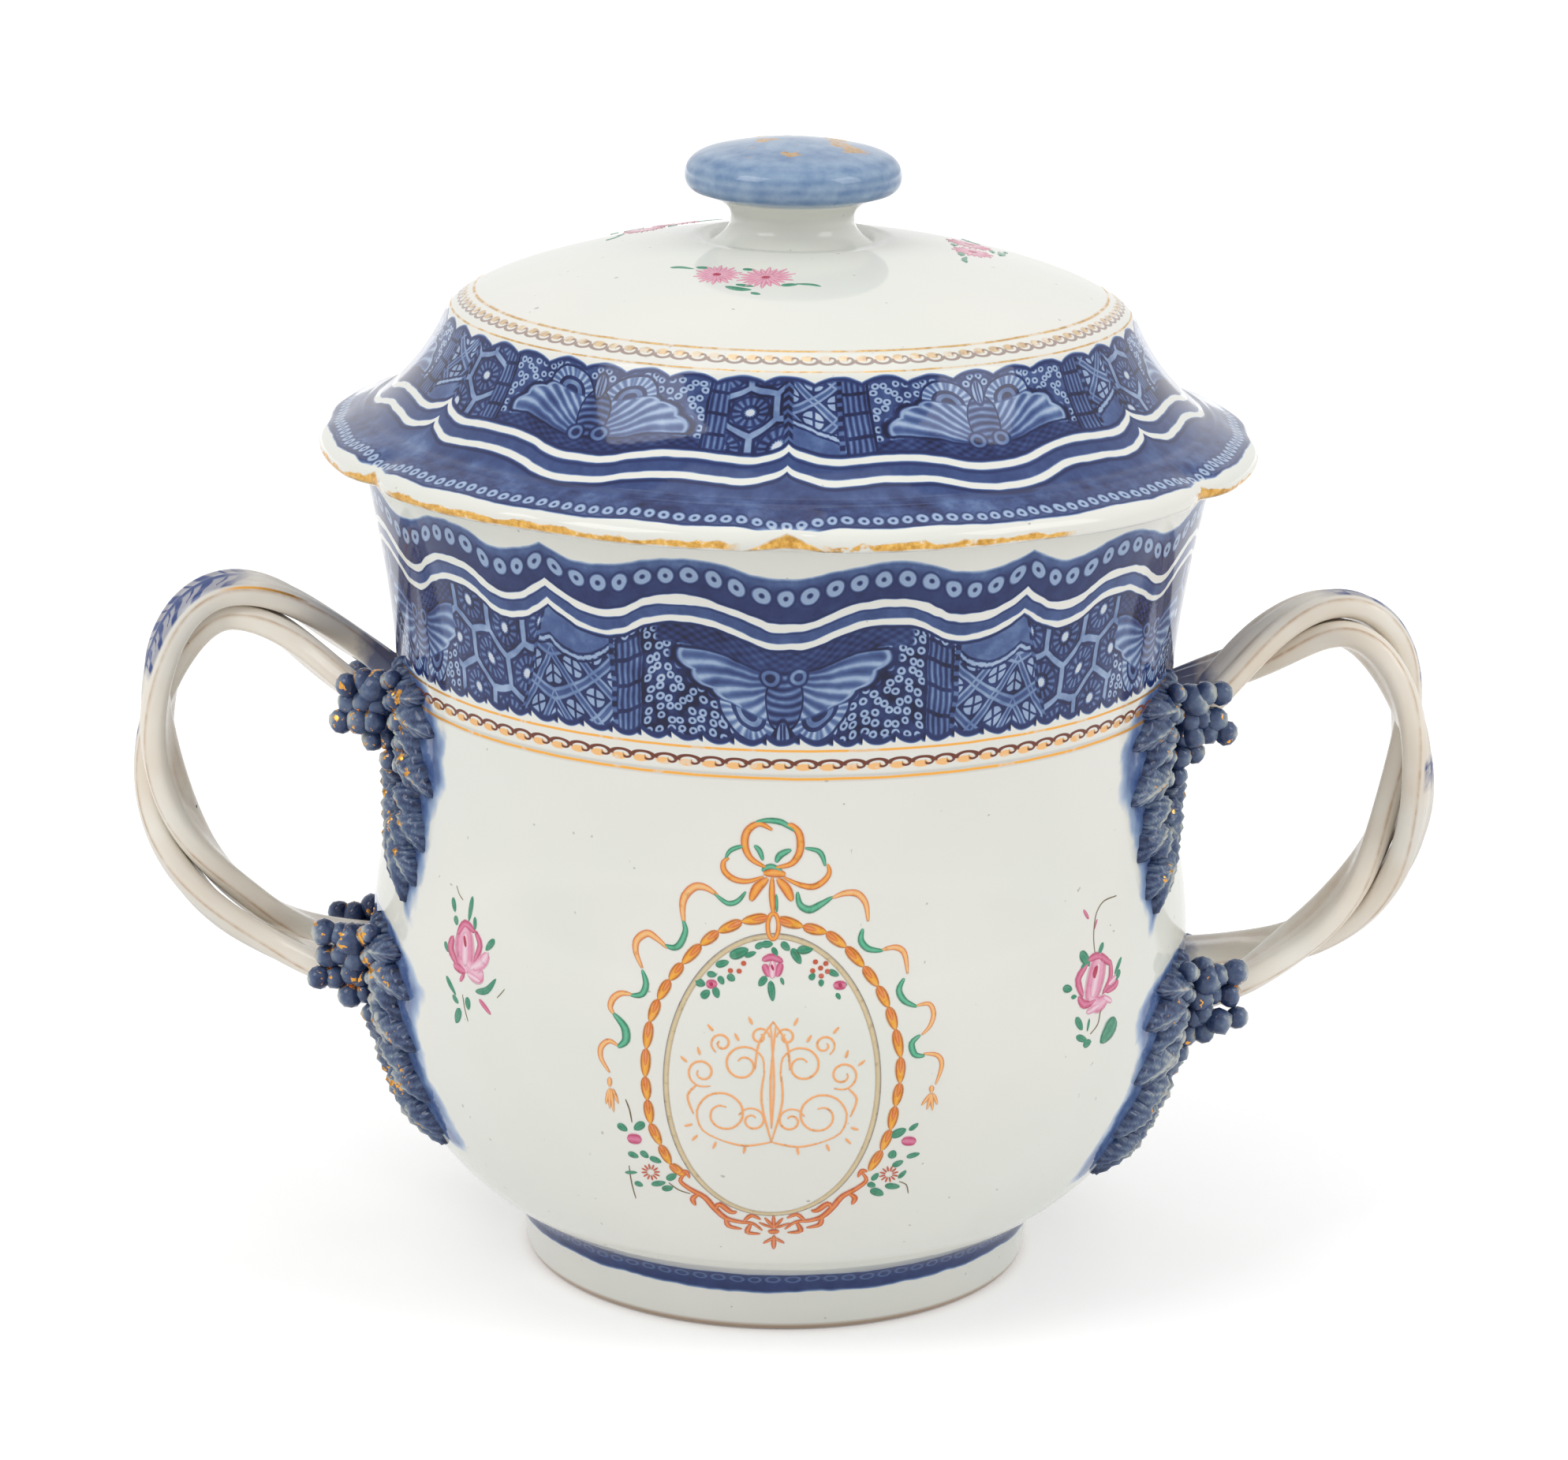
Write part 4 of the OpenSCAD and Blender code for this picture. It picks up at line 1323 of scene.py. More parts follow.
def brushed(form, path, width, shape, inks, layer=0, surface=cup_wall, middle=-90, steps=4):
    """A brush stroke of enamel along a path on the wall: the upper face of a thin lens in the glaze."""
    enamel = form.verts.layers.float_color["enamel"]
    path = [Vector(point) for point in path]
    rows = steps * (len(path) - 1) if len(path) > 2 else 8
    grid = bmesh.ops.create_grid(form, x_segments=len(inks) - 1, y_segments=rows, size=0.5)["verts"]
    cuts = [path_at(path, row / rows) for row in range(rows + 1)]
    for vert in grid:
        share = vert.co.y + 0.5
        side = 2 * vert.co.x
        vert[enamel] = inks[round((side + 1) / 2 * (len(inks) - 1))]
        side = math.copysign(abs(side) ** 0.6, side)
        place, heading = cuts[round(share * rows)]
        off = side * width / 2 * shape(share)
        u = place.x + heading.y * off
        v = place.y - heading.x * off
        vert.co = on_wall(u, v, 0.02 + 0.012 * layer + 0.05 * (1 - side * side), middle, surface)


def up_wall(path):
    """Turns heights on the cup into distances up its wall."""
    return [(u, way_at(height)) for u, height in path]


def enamel_form():
    form = bmesh.new()
    form.verts.layers.float_color.new("enamel")
    return form


def enamel_paint(name, gilt=False):
    """A fired enamel whose colour was laid on by the brush, a little uneven and full of soft streaks."""
    material, nodes, place, x, y, z, glaze = glazed(name)
    node = nodes.new("ShaderNodeAttribute")
    node.attribute_name = "enamel"
    uneven = cloud(nodes, place, 0.8, 3.0, 0.6)
    soft = cloud(nodes, place, 2.6, 2.0)
    colour = tinted(nodes, node.outputs["Color"], glaze_white, (uneven - 0.4).most(0) * 0.6 * soft)
    colour = tinted(nodes, colour, srgb(96, 66, 48), uneven.below(0.36, 0.12) * 0.3)
    metal = cloud(nodes, place, 3.0, 3.0, 0.65).above(0.5, 0.1) * (0.3 if gilt else 0)
    return finished(material, glaze, place, colour, metal, metal * 0.35 + 0.12, 2, 0.02, 0.006)


def both_sides(form):
    """Repeats what is painted on the front on the back."""
    backed(form, 0.14)
    return half_turned(form)


orange = ink(srgb(226, 186, 146), srgb(178, 76, 38), srgb(226, 140, 50), srgb(236, 166, 72))
pale_orange = ink(srgb(226, 198, 172), srgb(200, 98, 50), srgb(232, 164, 92), srgb(236, 190, 130))
thin_orange = ink(srgb(230, 214, 196), srgb(236, 182, 134), srgb(234, 168, 112), srgb(232, 160, 102))
green = ink(srgb(176, 208, 190), srgb(24, 92, 68), srgb(62, 152, 116), srgb(96, 182, 146))
husk_gold = ink(srgb(224, 186, 140), srgb(162, 74, 36), srgb(224, 148, 40), srgb(236, 172, 56))
iron_red = ink(srgb(222, 176, 150), srgb(170, 54, 32), srgb(206, 98, 48), srgb(226, 142, 62))
# The strokes below are picked on the photo: a width in pixels and a path of pixels. The
# camera that took it stood at this place, in millimetres, with its focal length in pixels, and the
# cup leans a little in the photo, about a point at half its height.
photo_width = 1988
photo_height = 1851
photo_place = Vector((0, -561.448, 225.679))
photo_aim = Vector((0.046, 0, 66.61))
photo_roll = 0.01316
photo_focal = 5996.73
photo_lean = 0.00898
lean_height = 70
pixels_per_mm = 10.4
sight_steps = 40


def seen_on_wall(x, y):
    """The place on the cup's wall under a pixel: how far round the wall, and the height. The photo
    shows about 0.1 mm, so both are rounded to that."""
    ahead = (photo_aim - photo_place).normalized()
    right = ahead.cross(Vector((0, 0, 1))).normalized()
    turned = Matrix.Rotation(-photo_roll, 3, ahead)
    aside = turned @ right * (x - photo_width / 2)
    above = turned @ right.cross(ahead) * (photo_height / 2 - y)
    sight = (ahead + (aside + above) / photo_focal).normalized()
    spot = photo_place.copy()
    for step in range(sight_steps):
        lean = photo_lean * (spot.z - lean_height)
        gap = math.hypot(spot.x - lean, spot.y) - wall_at(spot.z)
        spot += 0.9 * gap * sight
    turn = round(math.degrees(math.atan2(spot.x - lean, -spot.y)), 1)
    return round(math.radians(turn) * wall_at(spot.z), 1), round(spot.z, 1)


def picked(form, strokes, shape, inks, layer, swell=1):
    """Brushes strokes that were picked on the photo onto the wall."""
    for width, path in strokes:
        path = [seen_on_wall(x, y) for x, y in path]
        brushed(form, up_wall(path), swell * round(width / pixels_per_mm, 2), shape, inks, layer)


bow_loops = [
    (10, [(970, 1100), (952, 1088), (944, 1070), (948, 1053), (963, 1044), (980, 1052)]),
    (10, [(984, 1100), (1004, 1095), (1014, 1078), (1014, 1058), (1005, 1047), (998, 1046)]),
    (8, [(968, 1112), (948, 1117), (930, 1114), (919, 1104), (917, 1093), (925, 1088)]),
    (8, [(994, 1112), (1012, 1121), (1030, 1124), (1044, 1117), (1051, 1106), (1050, 1095)]),
    (12, [(968, 1107), (982, 1106), (996, 1109)]), (13, [(974, 1114), (960, 1126), (952, 1142)]),
    (13, [(986, 1114), (997, 1126), (1004, 1142)]), (8, [(979, 1112), (979, 1135), (980, 1160)])]
bow_green = [
    (8, [(957, 1043), (972, 1040), (988, 1041), (1000, 1047), (1008, 1053)]),
    (6, [(920, 1089), (926, 1079), (936, 1074), (947, 1073)]),
    (7, [(956, 1072), (963, 1079), (968, 1091)]),
    (7, [(1046, 1098), (1043, 1086), (1036, 1078), (1022, 1075)]),
    (9, [(984, 1093), (990, 1083), (1003, 1077)]), (8, [(966, 1104), (978, 1099), (991, 1104)]),
    (4, [(984, 1134), (985, 1156)])]
ribbon_orange = [
    (11, [(910, 1136), (895, 1126), (880, 1125), (869, 1136), (865, 1150), (867, 1172)]),
    (10, [(846, 1202), (832, 1190), (820, 1184), (807, 1192), (806, 1208), (814, 1228)]),
    (9, [(801, 1262), (788, 1260), (778, 1266), (773, 1277), (778, 1287)]),
    (8, [(783, 1326), (771, 1320), (762, 1328), (762, 1343), (772, 1361)]),
    (9, [(1056, 1138), (1070, 1132), (1087, 1133), (1098, 1145), (1100, 1168)]),
    (8, [(1118, 1204), (1135, 1200), (1147, 1208), (1150, 1234)]),
    (7, [(1160, 1274), (1177, 1272), (1183, 1284), (1178, 1299), (1168, 1311)]),
    (7, [(1170, 1335), (1187, 1337), (1193, 1350), (1185, 1374)])]
ribbon_green = [
    (7, [(945, 1131), (935, 1142), (922, 1145), (906, 1133)]),
    (9, [(866, 1167), (869, 1181), (862, 1197), (854, 1202), (843, 1199)]),
    (9, [(814, 1230), (818, 1247), (813, 1261), (798, 1263)]),
    (12, [(777, 1285), (790, 1302), (793, 1320), (783, 1328)]),
    (10, [(1011, 1131), (1014, 1146), (1026, 1153), (1041, 1146), (1056, 1137)]),
    (9, [(1094, 1177), (1091, 1192), (1101, 1203), (1119, 1205)]),
    (9, [(1146, 1240), (1139, 1255), (1146, 1268), (1162, 1275)]),
    (9, [(1165, 1311), (1155, 1322), (1159, 1336), (1171, 1338)])]
tassels = [
    (7, [(772, 1367), (772, 1379)]), (5, [(771, 1381), (767, 1400)]), (5, [(772, 1381), (772, 1406)]),
    (5, [(774, 1381), (777, 1411)]), (5, [(775, 1381), (783, 1400)]),
    (7, [(1180, 1375), (1179, 1384)]), (5, [(1178, 1385), (1167, 1401)]),
    (5, [(1179, 1385), (1174, 1406)]), (5, [(1180, 1385), (1181, 1407)]),
    (5, [(1182, 1385), (1187, 1399)])]
husk_chains = [
    [(973, 1163), (940, 1168), (910, 1182), (888, 1198), (864, 1222), (848, 1243), (834, 1268),
        (823, 1296), (818, 1330), (817, 1366), (819, 1395), (823, 1425), (835, 1452), (849, 1476),
        (868, 1492)],
    [(986, 1165), (1018, 1174), (1047, 1182), (1073, 1200), (1094, 1225), (1113, 1250), (1126, 1276),
        (1135, 1305), (1141, 1340), (1140, 1372), (1134, 1402), (1127, 1432), (1116, 1458),
        (1100, 1484)]]
bracket_side = [
    (9, [(868, 1487), (861, 1497), (873, 1508), (892, 1518), (904, 1532), (918, 1544), (935, 1549),
        (952, 1551), (964, 1560)]),
    (6, [(872, 1494), (868, 1485), (860, 1487)]), (8, [(884, 1514), (876, 1520), (880, 1528)]),
    (9, [(905, 1533), (911, 1527), (924, 1536), (932, 1536)]),
    (8, [(918, 1544), (922, 1554), (938, 1558)]), (8, [(950, 1551), (945, 1562), (962, 1564)]),
    (7, [(940, 1549), (950, 1541), (962, 1546)])]
bracket_fold = 1958
bracket_tilt = 2
bracket_side += [
    (width, [(bracket_fold - x, y - bracket_tilt) for x, y in path]) for width, path in bracket_side]
bracket_middle = [
    (5, [(979, 1556), (979, 1541)]), (5, [(979, 1556), (968, 1544)]), (5, [(979, 1556), (990, 1544)]),
    (5, [(978, 1557), (960, 1550)]), (5, [(980, 1557), (998, 1550)]), (11, [(972, 1561), (986, 1561)]),
    (7, [(979, 1566), (979, 1583)]), (6, [(978, 1569), (966, 1576)]), (6, [(980, 1569), (992, 1576)])]


frame_middle = Vector((-0.65, 38.45))
frame_size = Vector((12.35, 17.55))
spray_middle = -0.6


def frame_ring():
    form = enamel_form()
    oval = [
        (frame_middle.x + frame_size.x * math.sin(turn), frame_middle.y + frame_size.y * math.cos(turn))
        for turn in (math.radians(6 * i) for i in range(61))]
    gold = ink(srgb(176, 172, 168), srgb(126, 120, 118), srgb(186, 168, 134), srgb(206, 190, 154))
    gold[-3:] = [srgb(200, 180, 142), srgb(180, 158, 122), srgb(200, 192, 178)]
    brushed(form, up_wall(oval), 0.72, lambda share: 1, gold, 1, steps=2)
    return both_sides(form)


def tendril(x, z, size, start, sweep, hand):
    """A line that curls in on itself round a centre, from an angle over a sweep, in degrees."""
    points = []
    for i in range(13):
        turn = math.radians(start + sweep * i / 12)
        reach = size * (1 - 0.72 * i / 12)
        points.append((spray_middle + hand * (x + reach * math.cos(turn)), z + reach * math.sin(turn)))
    return points


def ribbons():
    form = enamel_form()
    picked(form, ribbon_orange, ribbon_shape, pale_orange, 1)
    picked(form, ribbon_green, ribbon_shape, green, 2)
    picked(form, tassels, leaf_shape, pale_orange, 3)
    for chain in husk_chains:
        husks = [seen_on_wall(x, y) for x, y in chain]
        for start, end in zip(husks, husks[1:]):
            brushed(form, up_wall([start, end]), 1.35, leaf_shape, husk_gold, 2)
            throat = (start[0] * 0.4 + end[0] * 0.6, start[1] * 0.4 + end[1] * 0.6)
            brushed(form, up_wall([start, throat]), 0.8, leaf_shape, iron_red, 3)
    picked(form, bow_green, ribbon_shape, green, 3)
    picked(form, bow_loops, ribbon_shape, orange, 4)
    loop = [
        (0.62 * math.sin(math.radians(30 * i)) - 0.8, 57.1 + 1.45 * math.cos(math.radians(30 * i)))
        for i in range(13)]
    brushed(form, up_wall(loop), 0.55, lambda share: 1, orange, 5, steps=2)
    picked(form, bracket_side + bracket_middle, ribbon_shape, iron_red, 3)
    # The scrolling spray inside the ring: a wide pair of scrolls, mirrored left and right.
    for hand in (1, -1):
        for x, z, size, start, sweep in (
                (5.6, 34.6, 3.5, -90, 560), (3.4, 40.9, 2.6, 200, -520), (8.1, 39.7, 1.9, -120, 500),
                (2.2, 34.0, 1.7, 20, 480), (5.9, 43.4, 1.3, -60, 460), (1.5, 44.4, 1.1, 180, -430)):
            brushed(
                form, up_wall(tendril(x, z, size, start, sweep, hand)), 0.34, line_shape, thin_orange, 1,
                steps=3)
        for path in (
                [(0, 31.2), (3.0, 30.6), (5.6, 31.1)], [(0, 31.2), (1.2, 36.4), (0.9, 40.2)],
                [(0, 46.2), (1.6, 43.6), (2.0, 40.4)], [(9.1, 34.4), (9.8, 36.6), (8.8, 38.0)],
                [(0, 33.0), (-0.2, 39.0), (0.3, 45.8)]):
            path = [(hand * x + spray_middle, z) for x, z in path]
            brushed(form, up_wall(path), 0.34, line_shape, thin_orange, 1)
        for x, z, turn in (
                (9.2, 33.0, -20), (8.6, 31.6, -50), (6.4, 30.9, -70), (9.9, 40.8, 40), (8.4, 41.8, 75),
                (6.9, 44.8, 50), (3.9, 43.8, 60), (2.4, 45.8, 65), (3.0, 30.5, -80)):
            turn = math.radians(turn)
            start = (hand * x + spray_middle, z)
            end = (hand * (x + math.cos(turn)) + spray_middle, z + math.sin(turn))
            brushed(form, up_wall([start, end]), 0.42, leaf_shape, thin_orange, 2)
    return both_sides(form)


fired(frame_ring(), "cup_gilt_ring", enamel_paint("ring_gilt", True), "cup")
fired(ribbons(), "cup_ribbons_and_husks", enamel_paint("ribbon_enamel"), "cup")

# The flowers: a rose on each side of the frame, a garland inside its top and small bunches beside
# it, in rose pink, turquoise green and iron red, each petal and leaf one loaded brush stroke.
rose_red = ink(srgb(222, 180, 194), srgb(178, 52, 94), srgb(196, 86, 126), srgb(212, 122, 154))
rose_pink = ink(srgb(226, 188, 202), srgb(212, 128, 158), srgb(224, 168, 190), srgb(230, 206, 214))
rose_body = ink(srgb(226, 196, 206), srgb(206, 112, 146), srgb(220, 150, 176), srgb(226, 182, 198))
rose_heart = ink(srgb(206, 110, 140), srgb(178, 48, 84), srgb(170, 40, 76), srgb(170, 40, 76))
stem_brown = ink(srgb(196, 192, 170), srgb(120, 106, 78), srgb(108, 92, 66), srgb(108, 92, 66))
dot_red = ink(srgb(220, 170, 150), srgb(178, 72, 48), srgb(190, 84, 56), srgb(190, 84, 56))
leaf_green = ink(srgb(176, 208, 192), srgb(26, 94, 72), srgb(60, 146, 112), srgb(48, 128, 98))
garland_leaves = [
    (12, [(925, 1213), (948, 1204)]), (8, [(908, 1224), (924, 1220)]), (6, [(944, 1213), (958, 1207)]),
    (7, [(957, 1202), (970, 1195)]), (8, [(966, 1198), (980, 1197)]), (6, [(980, 1201), (985, 1212)]),
    (8, [(990, 1195), (1001, 1205)]), (9, [(1004, 1203), (1015, 1222)]),
    (10, [(1010, 1205), (1030, 1203)]), (9, [(880, 1243), (893, 1249)]),
    (9, [(889, 1265), (899, 1256)]), (8, [(905, 1252), (910, 1266)]), (8, [(922, 1236), (931, 1243)]),
    (7, [(911, 1238), (916, 1248)]), (7, [(896, 1235), (908, 1237)]),
    (7, [(1026, 1242), (1032, 1234)]), (6, [(1040, 1242), (1040, 1251)]),
    (7, [(1050, 1230), (1063, 1237)]), (5, [(1066, 1246), (1074, 1248)]),
    (5, [(1060, 1259), (1064, 1266)]), (8, [(971, 1238), (962, 1250)]),
    (8, [(977, 1244), (979, 1269)]), (4, [(989, 1239), (993, 1248)])]
cluster_leaves = [
    (9, [(782, 1426), (794, 1434)]), (10, [(815, 1424), (802, 1433)]), (8, [(795, 1462), (808, 1468)]),
    (8, [(811, 1460), (820, 1468)]), (8, [(822, 1468), (836, 1474)]), (5, [(791, 1487), (806, 1487)]),
    (8, [(803, 1499), (813, 1504)]), (8, [(824, 1502), (842, 1499)]), (9, [(838, 1508), (852, 1506)]),
    (9, [(844, 1496), (856, 1489)]), (11, [(1128, 1440), (1147, 1431)]),
    (6, [(1151, 1432), (1163, 1423)]), (10, [(1128, 1468), (1132, 1457)]),
    (7, [(1148, 1466), (1164, 1461)]), (8, [(1130, 1478), (1143, 1471)]),
    (7, [(1104, 1496), (1111, 1486)]), (8, [(1098, 1500), (1108, 1503)]),
    (11, [(1102, 1507), (1118, 1514)]), (9, [(1120, 1502), (1138, 1504)]),
    (6, [(1137, 1493), (1147, 1483)])]
rose_leaves = [
    (8, [(574, 1140), (577, 1158)]), (7, [(599, 1138), (594, 1169)]), (8, [(577, 1163), (579, 1175)]),
    (6, [(602, 1165), (602, 1180)]), (7, [(563, 1196), (568, 1209)]), (8, [(627, 1193), (615, 1206)]),
    (7, [(565, 1239), (570, 1250), (577, 1263)]), (8, [(602, 1259), (616, 1257), (628, 1243)]),
    (7, [(573, 1264), (580, 1274)]), (9, [(592, 1266), (593, 1282)]), (11, [(582, 1281), (577, 1298)]),
    (12, [(1369, 1205), (1380, 1222)]), (7, [(1370, 1226), (1380, 1218)]),
    (7, [(1398, 1193), (1392, 1209)]), (6, [(1421, 1212), (1412, 1233)]),
    (8, [(1419, 1227), (1414, 1240)]), (9, [(1347, 1251), (1358, 1253)]),
    (5, [(1357, 1263), (1364, 1262)]), (9, [(1363, 1289), (1371, 1304)]),
    (4, [(1380, 1290), (1377, 1306)]), (8, [(1364, 1312), (1376, 1318)]),
    (10, [(1372, 1323), (1382, 1319)]), (24, [(1412, 1288), (1405, 1304), (1394, 1320)])]
stems = [
    (2.2, [(792, 1394), (797, 1408), (800, 1424)]), (2.2, [(846, 1500), (858, 1509), (873, 1514)]),
    (2, [(796, 1478), (799, 1500), (804, 1520)]), (2, [(1138, 1497), (1147, 1501), (1150, 1512)]),
    (2, [(868, 1266), (862, 1272), (860, 1280)]), (1.6, [(579, 1125), (582, 1135), (587, 1143)]),
    (1.8, [(585, 1262), (588, 1280), (592, 1297)]), (1.5, [(639, 1256), (634, 1262), (629, 1267)]),
    (2.2, [(1388, 1212), (1386, 1190), (1387, 1168), (1391, 1152), (1400, 1140), (1415, 1134)]),
    (2.4, [(1398, 1264), (1394, 1282), (1390, 1297), (1381, 1309)])]
rose_bodies = [
    (3.7, [(-41.6, 51.4), (-41.7, 48.8), (-41.3, 46.0)]),
    (2.6, [(-41.2, 47.4), (-39.6, 46.4), (-38.2, 46.6)]),
    (3.5, [(42.7, 49.3), (41.9, 46.6), (40.8, 43.7)]),
    (2.2, [(41.0, 44.4), (42.4, 43.2), (44.2, 43.6)])]
rose_dark = [
    (14, [(574, 1188), (571, 1205), (580, 1225)]), (12, [(580, 1186), (590, 1174), (602, 1184)]),
    (10, [(602, 1182), (608, 1200), (600, 1222)]), (13, [(574, 1224), (590, 1234)]),
    (6, [(582, 1246), (588, 1236)]), (7, [(606, 1268), (613, 1277), (621, 1288)]),
    (12, [(1372, 1262), (1366, 1240), (1378, 1220)]), (12, [(1378, 1216), (1392, 1211), (1408, 1220)]),
    (10, [(1407, 1214), (1406, 1238), (1397, 1258)]), (12, [(1366, 1262), (1374, 1272), (1388, 1266)]),
    (10, [(1400, 1256), (1412, 1248), (1416, 1240)]), (5, [(1373, 1152), (1380, 1163)]),
    (3, [(1390, 1164), (1387, 1176)]), (10, [(968, 1222), (975, 1238)]),
    (10, [(990, 1221), (984, 1238)]), (10, [(966, 1218), (979, 1214), (993, 1219)]),
    (12, [(894, 1248), (908, 1248)]), (12, [(1056, 1249), (1072, 1249)]),
    (16, [(794, 1444), (812, 1445)]), (14, [(1142, 1445), (1160, 1446)])]
rose_pale = [
    (20, [(590, 1184), (589, 1226)]), (16, [(596, 1230), (610, 1222), (618, 1210)]),
    (9, [(592, 1236), (608, 1246)]), (20, [(1392, 1218), (1383, 1262)]),
    (10, [(1376, 1282), (1392, 1272)]), (8, [(1398, 1262), (1408, 1268)]),
    (8, [(1404, 1246), (1414, 1236)]), (10, [(979, 1218), (979, 1240)])]
rose_core = [
    (9, [(589, 1188), (590, 1203)]), (11, [(1390, 1222), (1386, 1238)]),
    (5, [(978, 1222), (980, 1230)]), (6, [(899, 1246), (904, 1250)]),
    (6, [(1062, 1247), (1067, 1251)])]
red_dots = [
    (925, 1231), (937, 1231), (943, 1221), (1034, 1219), (1046, 1221), (1040, 1227), (1030, 1231),
    (1049, 1231), (1040, 1237)]


def flowers():
    form = enamel_form()
    for width, path in rose_bodies:
        brushed(form, up_wall(path), width, petal_shape, rose_body, 1, steps=8)
    picked(form, garland_leaves + cluster_leaves + rose_leaves, leaf_shape, leaf_green, 1, 1.2)
    picked(form, stems, line_shape, stem_brown, 0)
    picked(form, rose_dark, petal_shape, rose_red, 2)
    picked(form, rose_pale, petal_shape, rose_pink, 3)
    picked(form, rose_core, petal_shape, rose_heart, 4)
    for dot in red_dots:
        x, z = seen_on_wall(*dot)
        brushed(form, up_wall([(x - 0.3, z), (x + 0.3, z)]), 0.6, petal_shape, dot_red, 2)
    for x, z in ((-14.8, 25.8), (13.3, 26.3)):
        for turn in range(0, 360, 30):
            way = Vector((math.cos(math.radians(turn + 11)), math.sin(math.radians(turn + 11))))
            start = Vector((x, z)) + 0.42 * way
            brushed(form, up_wall([start, start + 0.75 * way]), 0.26, petal_shape, dot_red, 2)
    return both_sides(form)


fired(flowers(), "cup_flowers", enamel_paint("flower_enamel"), "cup")

# The daisies on the cover: small sprays of pink rayed flowers with green leaves, brushed in enamels
# round the foot of the knob.
cover_wall_line = measured([p + Vector((0, cup_height)) for p in dome])
daisy_sprays = [
    (-16, 20.8, [(-3.1, 0.1, 3.0), (2.8, 0.3, 3.4)]),
    (97, 22.0, [(-2.9, 0.5, 2.6), (2.8, 0.0, 2.8)]),
    (-128, 21.5, [(-3.0, 0.2, 2.7), (2.6, -0.2, 2.8)])]
daisy_leaves = [
    (0.7, [(-9.8, 0.3), (-8.4, 0.9), (-6.6, 1.0)]),
    (0.9, [(-6.4, 1.6), (-4.4, 1.9)]),
    (0.9, [(-0.6, 2.6), (0.9, 2.5)]),
    (1.1, [(-1.0, -3.1), (0.8, -3.6), (2.2, -3.6)]),
    (0.8, [(0.0, -2.3), (2.2, -2.6)]),
    (0.7, [(2.4, -4.4), (3.6, -4.8)]),
    (1.0, [(5.2, -1.9), (7.0, -1.6)]),
    (0.6, [(6.8, -1.4), (8.6, -1.6), (9.9, -2.2)])]
daisy_pink = ink(srgb(226, 204, 208), srgb(204, 112, 140), srgb(214, 140, 164), srgb(224, 176, 190))


def daisies():
    form = enamel_form()
    for angle, radius, flowers_here in daisy_sprays:
        outline, way = cover_wall_line
        home = min(range(len(outline)), key=lambda i: abs(outline[i].x - radius))
        for width, path in daisy_leaves:
            path = [(u, way[home] + v) for u, v in path]
            brushed(form, path, width, leaf_shape, leaf_green, 1, cover_wall_line, angle - 90)
        for u, v, size in flowers_here:
            for k in range(20):
                turn = math.radians(18 * k + 8)
                reach = size * (1.0 if k % 2 else 0.86)
                start = (u + 0.5 * math.cos(turn), way[home] + v + 0.5 * math.sin(turn))
                end = (u + reach * math.cos(turn), way[home] + v + reach * math.sin(turn))
                brushed(form, [start, end], 0.66, leaf_shape, daisy_pink, 2, cover_wall_line, angle - 90)
            brushed(
                form, [(u - 0.45, way[home] + v), (u + 0.45, way[home] + v)], 0.9, petal_shape, rose_heart, 3,
                cover_wall_line, angle - 90)
    backed(form, 0.02, 0.14)
    return form


fired(daisies(), "cover_daisies", enamel_paint("daisy_enamel"), "cover")

# The studio: a plain pale table under soft lamps and a white surround, as for a catalogue picture.
floor_form = bmesh.new()
bmesh.ops.create_grid(floor_form, x_segments=1, y_segments=1, size=3)
floor_mesh = bpy.data.meshes.new("studio_floor")
floor_form.to_mesh(floor_mesh)
floor_form.free()
floor = bpy.data.objects.new("studio_floor", floor_mesh)
bpy.context.collection.objects.link(floor)
floor_material = bpy.data.materials.new("pale_table")
floor_material.use_nodes = True
floor_shader = floor_material.node_tree.nodes["Principled BSDF"]
floor_shader.inputs["Base Color"].default_value = (0.93, 0.93, 0.93, 1)
floor_shader.inputs["Roughness"].default_value = 0.9
floor_shader.inputs["Specular IOR Level"].default_value = 0
floor_nodes = floor_material.node_tree.nodes
floor_path = floor_nodes.new("ShaderNodeLightPath")
seen_floor = Field(floor_nodes, floor_path.outputs["Is Camera Ray"])
seen_floor = seen_floor.most(Field(floor_nodes, floor_path.outputs["Is Glossy Ray"]))
seen_floor = seen_floor.most(Field(floor_nodes, floor_path.outputs["Is Transmission Ray"])) * 0.2
floor_texture = floor_nodes.new("ShaderNodeTexCoord")
floor_x, floor_y, _ = split(floor_nodes, floor_texture.outputs["Object"])
seen_floor = seen_floor * (length(floor_x, floor_y).above(1.0, 0.6) * 3 + 1)
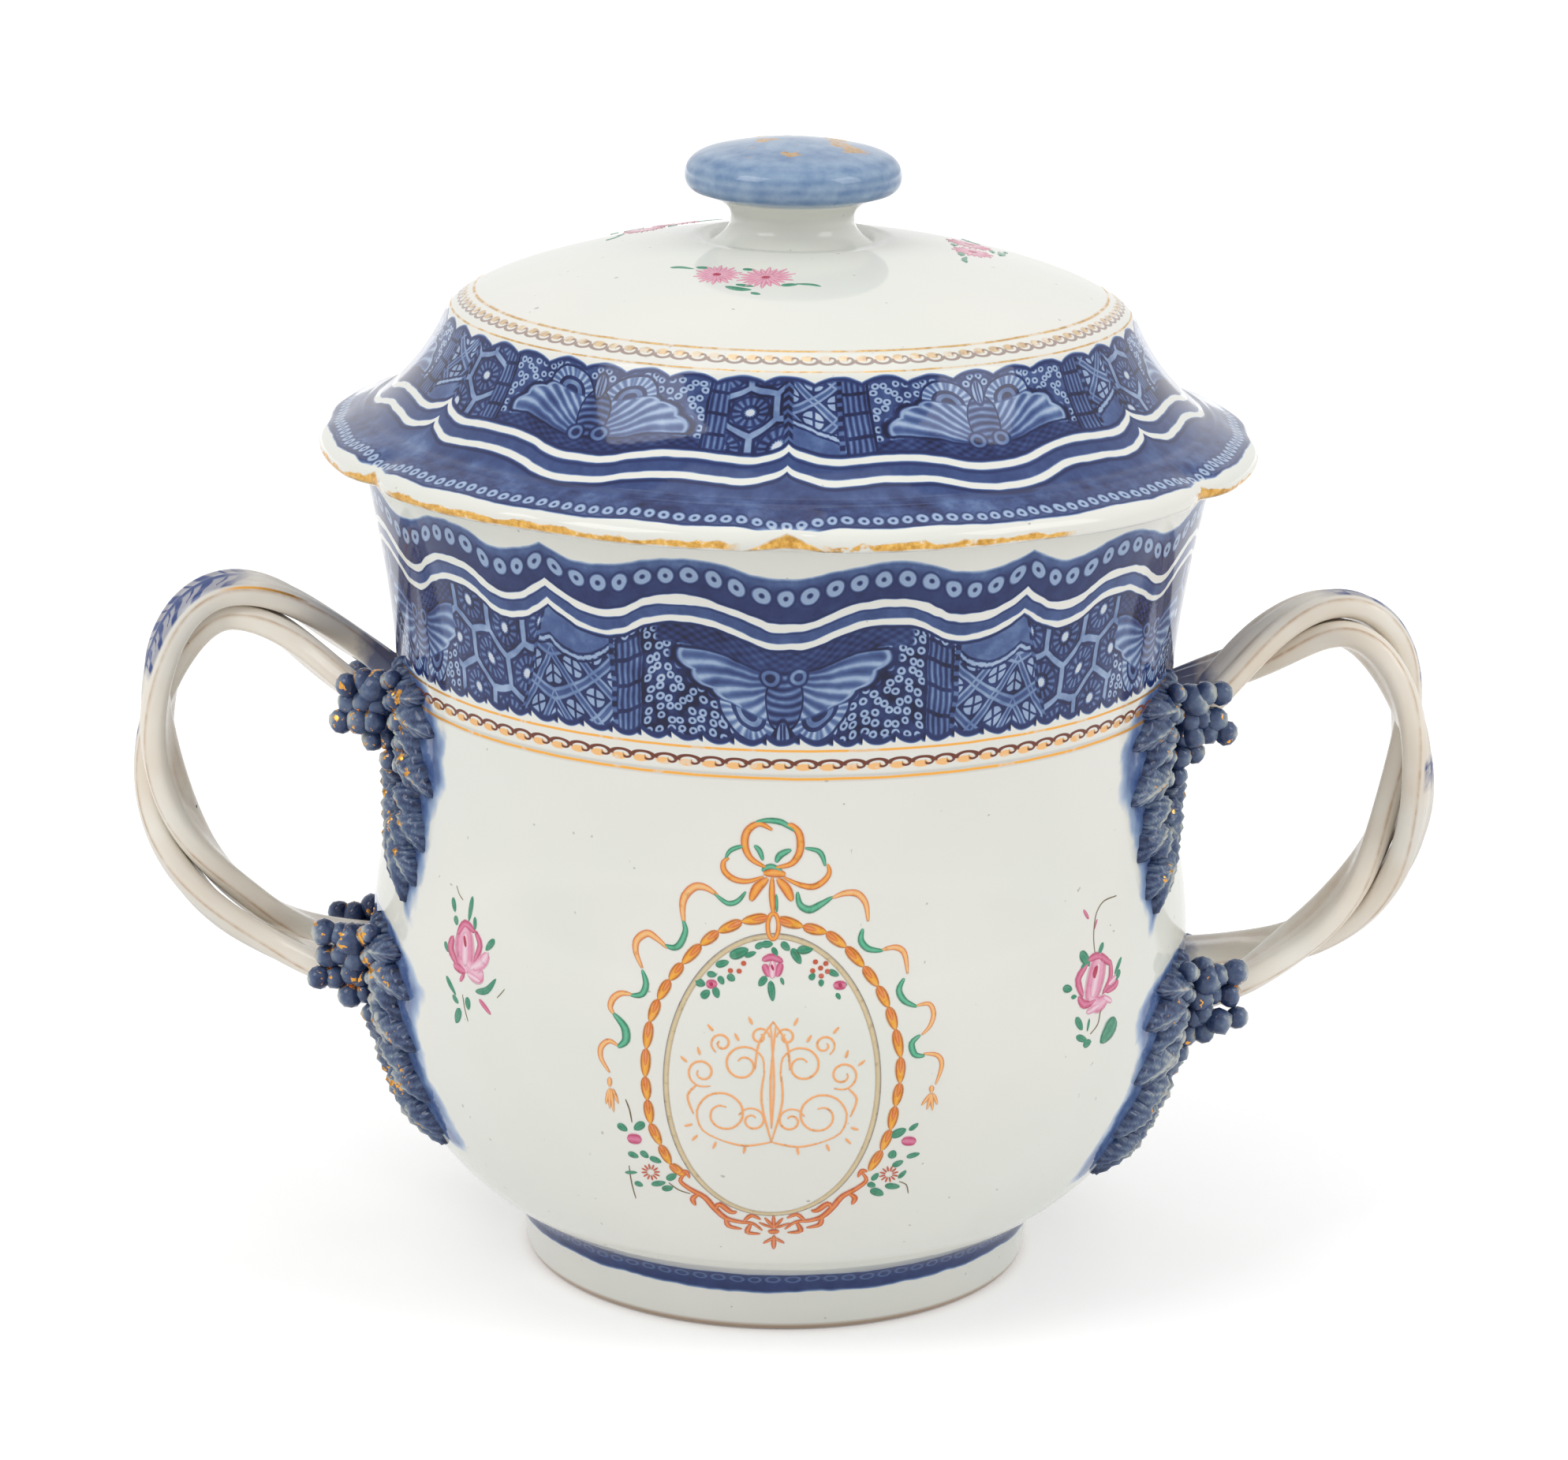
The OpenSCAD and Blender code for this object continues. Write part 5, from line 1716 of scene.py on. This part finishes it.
floor_shader.inputs["Emission Color"].default_value = (1, 1, 1, 1)
floor_material.node_tree.links.new(seen_floor.socket, floor_shader.inputs["Emission Strength"])
floor_mesh.materials.append(floor_material)

world = bpy.data.worlds.new("white_surround")
bpy.context.scene.world = world
world.use_nodes = True
world_nodes = world.node_tree.nodes
surround = world_nodes["Background"]
surround.inputs["Color"].default_value = (1, 1, 1, 1)
path = world_nodes.new("ShaderNodeLightPath")
seen = Field(world_nodes, path.outputs["Is Camera Ray"])
seen = seen.most(Field(world_nodes, path.outputs["Is Glossy Ray"]))
seen = seen.most(Field(world_nodes, path.outputs["Is Transmission Ray"]))
surround_strength = laid(0.7, 1.0, seen)
world.node_tree.links.new(surround_strength.socket, surround.inputs["Strength"])


def soft_lamp(name, place, target, width, tall, power):
    lamp = bpy.data.lights.new(name, "AREA")
    lamp.shape = "RECTANGLE"
    lamp.size = width
    lamp.size_y = tall
    lamp.energy = power
    holder = bpy.data.objects.new(name, lamp)
    holder.location = place
    holder.rotation_euler = (Vector(target) - Vector(place)).to_track_quat("-Z", "Y").to_euler()
    bpy.context.collection.objects.link(holder)


soft_lamp("lamp_left", (-0.75, -0.55, 0.95), (0, 0, 0.07), 0.6, 0.6, 4.7)
soft_lamp("lamp_right", (0.85, -0.35, 0.75), (0, 0, 0.07), 0.5, 0.6, 3)
soft_lamp("lamp_above", (0, 0.1, 1.3), (0, 0, 0.1), 0.8, 0.8, 1.8)

camera_data = bpy.data.cameras.new("camera")
camera = bpy.data.objects.new("camera", camera_data)
bpy.context.collection.objects.link(camera)
camera_place = Vector((0, -0.56145, 0.22568))
camera_aim = Vector((0.00005, 0, 0.06661))
camera_roll = 0.0175
camera_data.lens = 108.59
camera_data.clip_start = 0.01
camera.location = camera_place
turned = (camera_aim - camera_place).to_track_quat("-Z", "Y").to_matrix().to_4x4()
camera.rotation_euler = (turned @ Matrix.Rotation(camera_roll, 4, "Z")).to_euler()
bpy.context.scene.camera = camera
bpy.context.scene.view_settings.view_transform = "Standard"
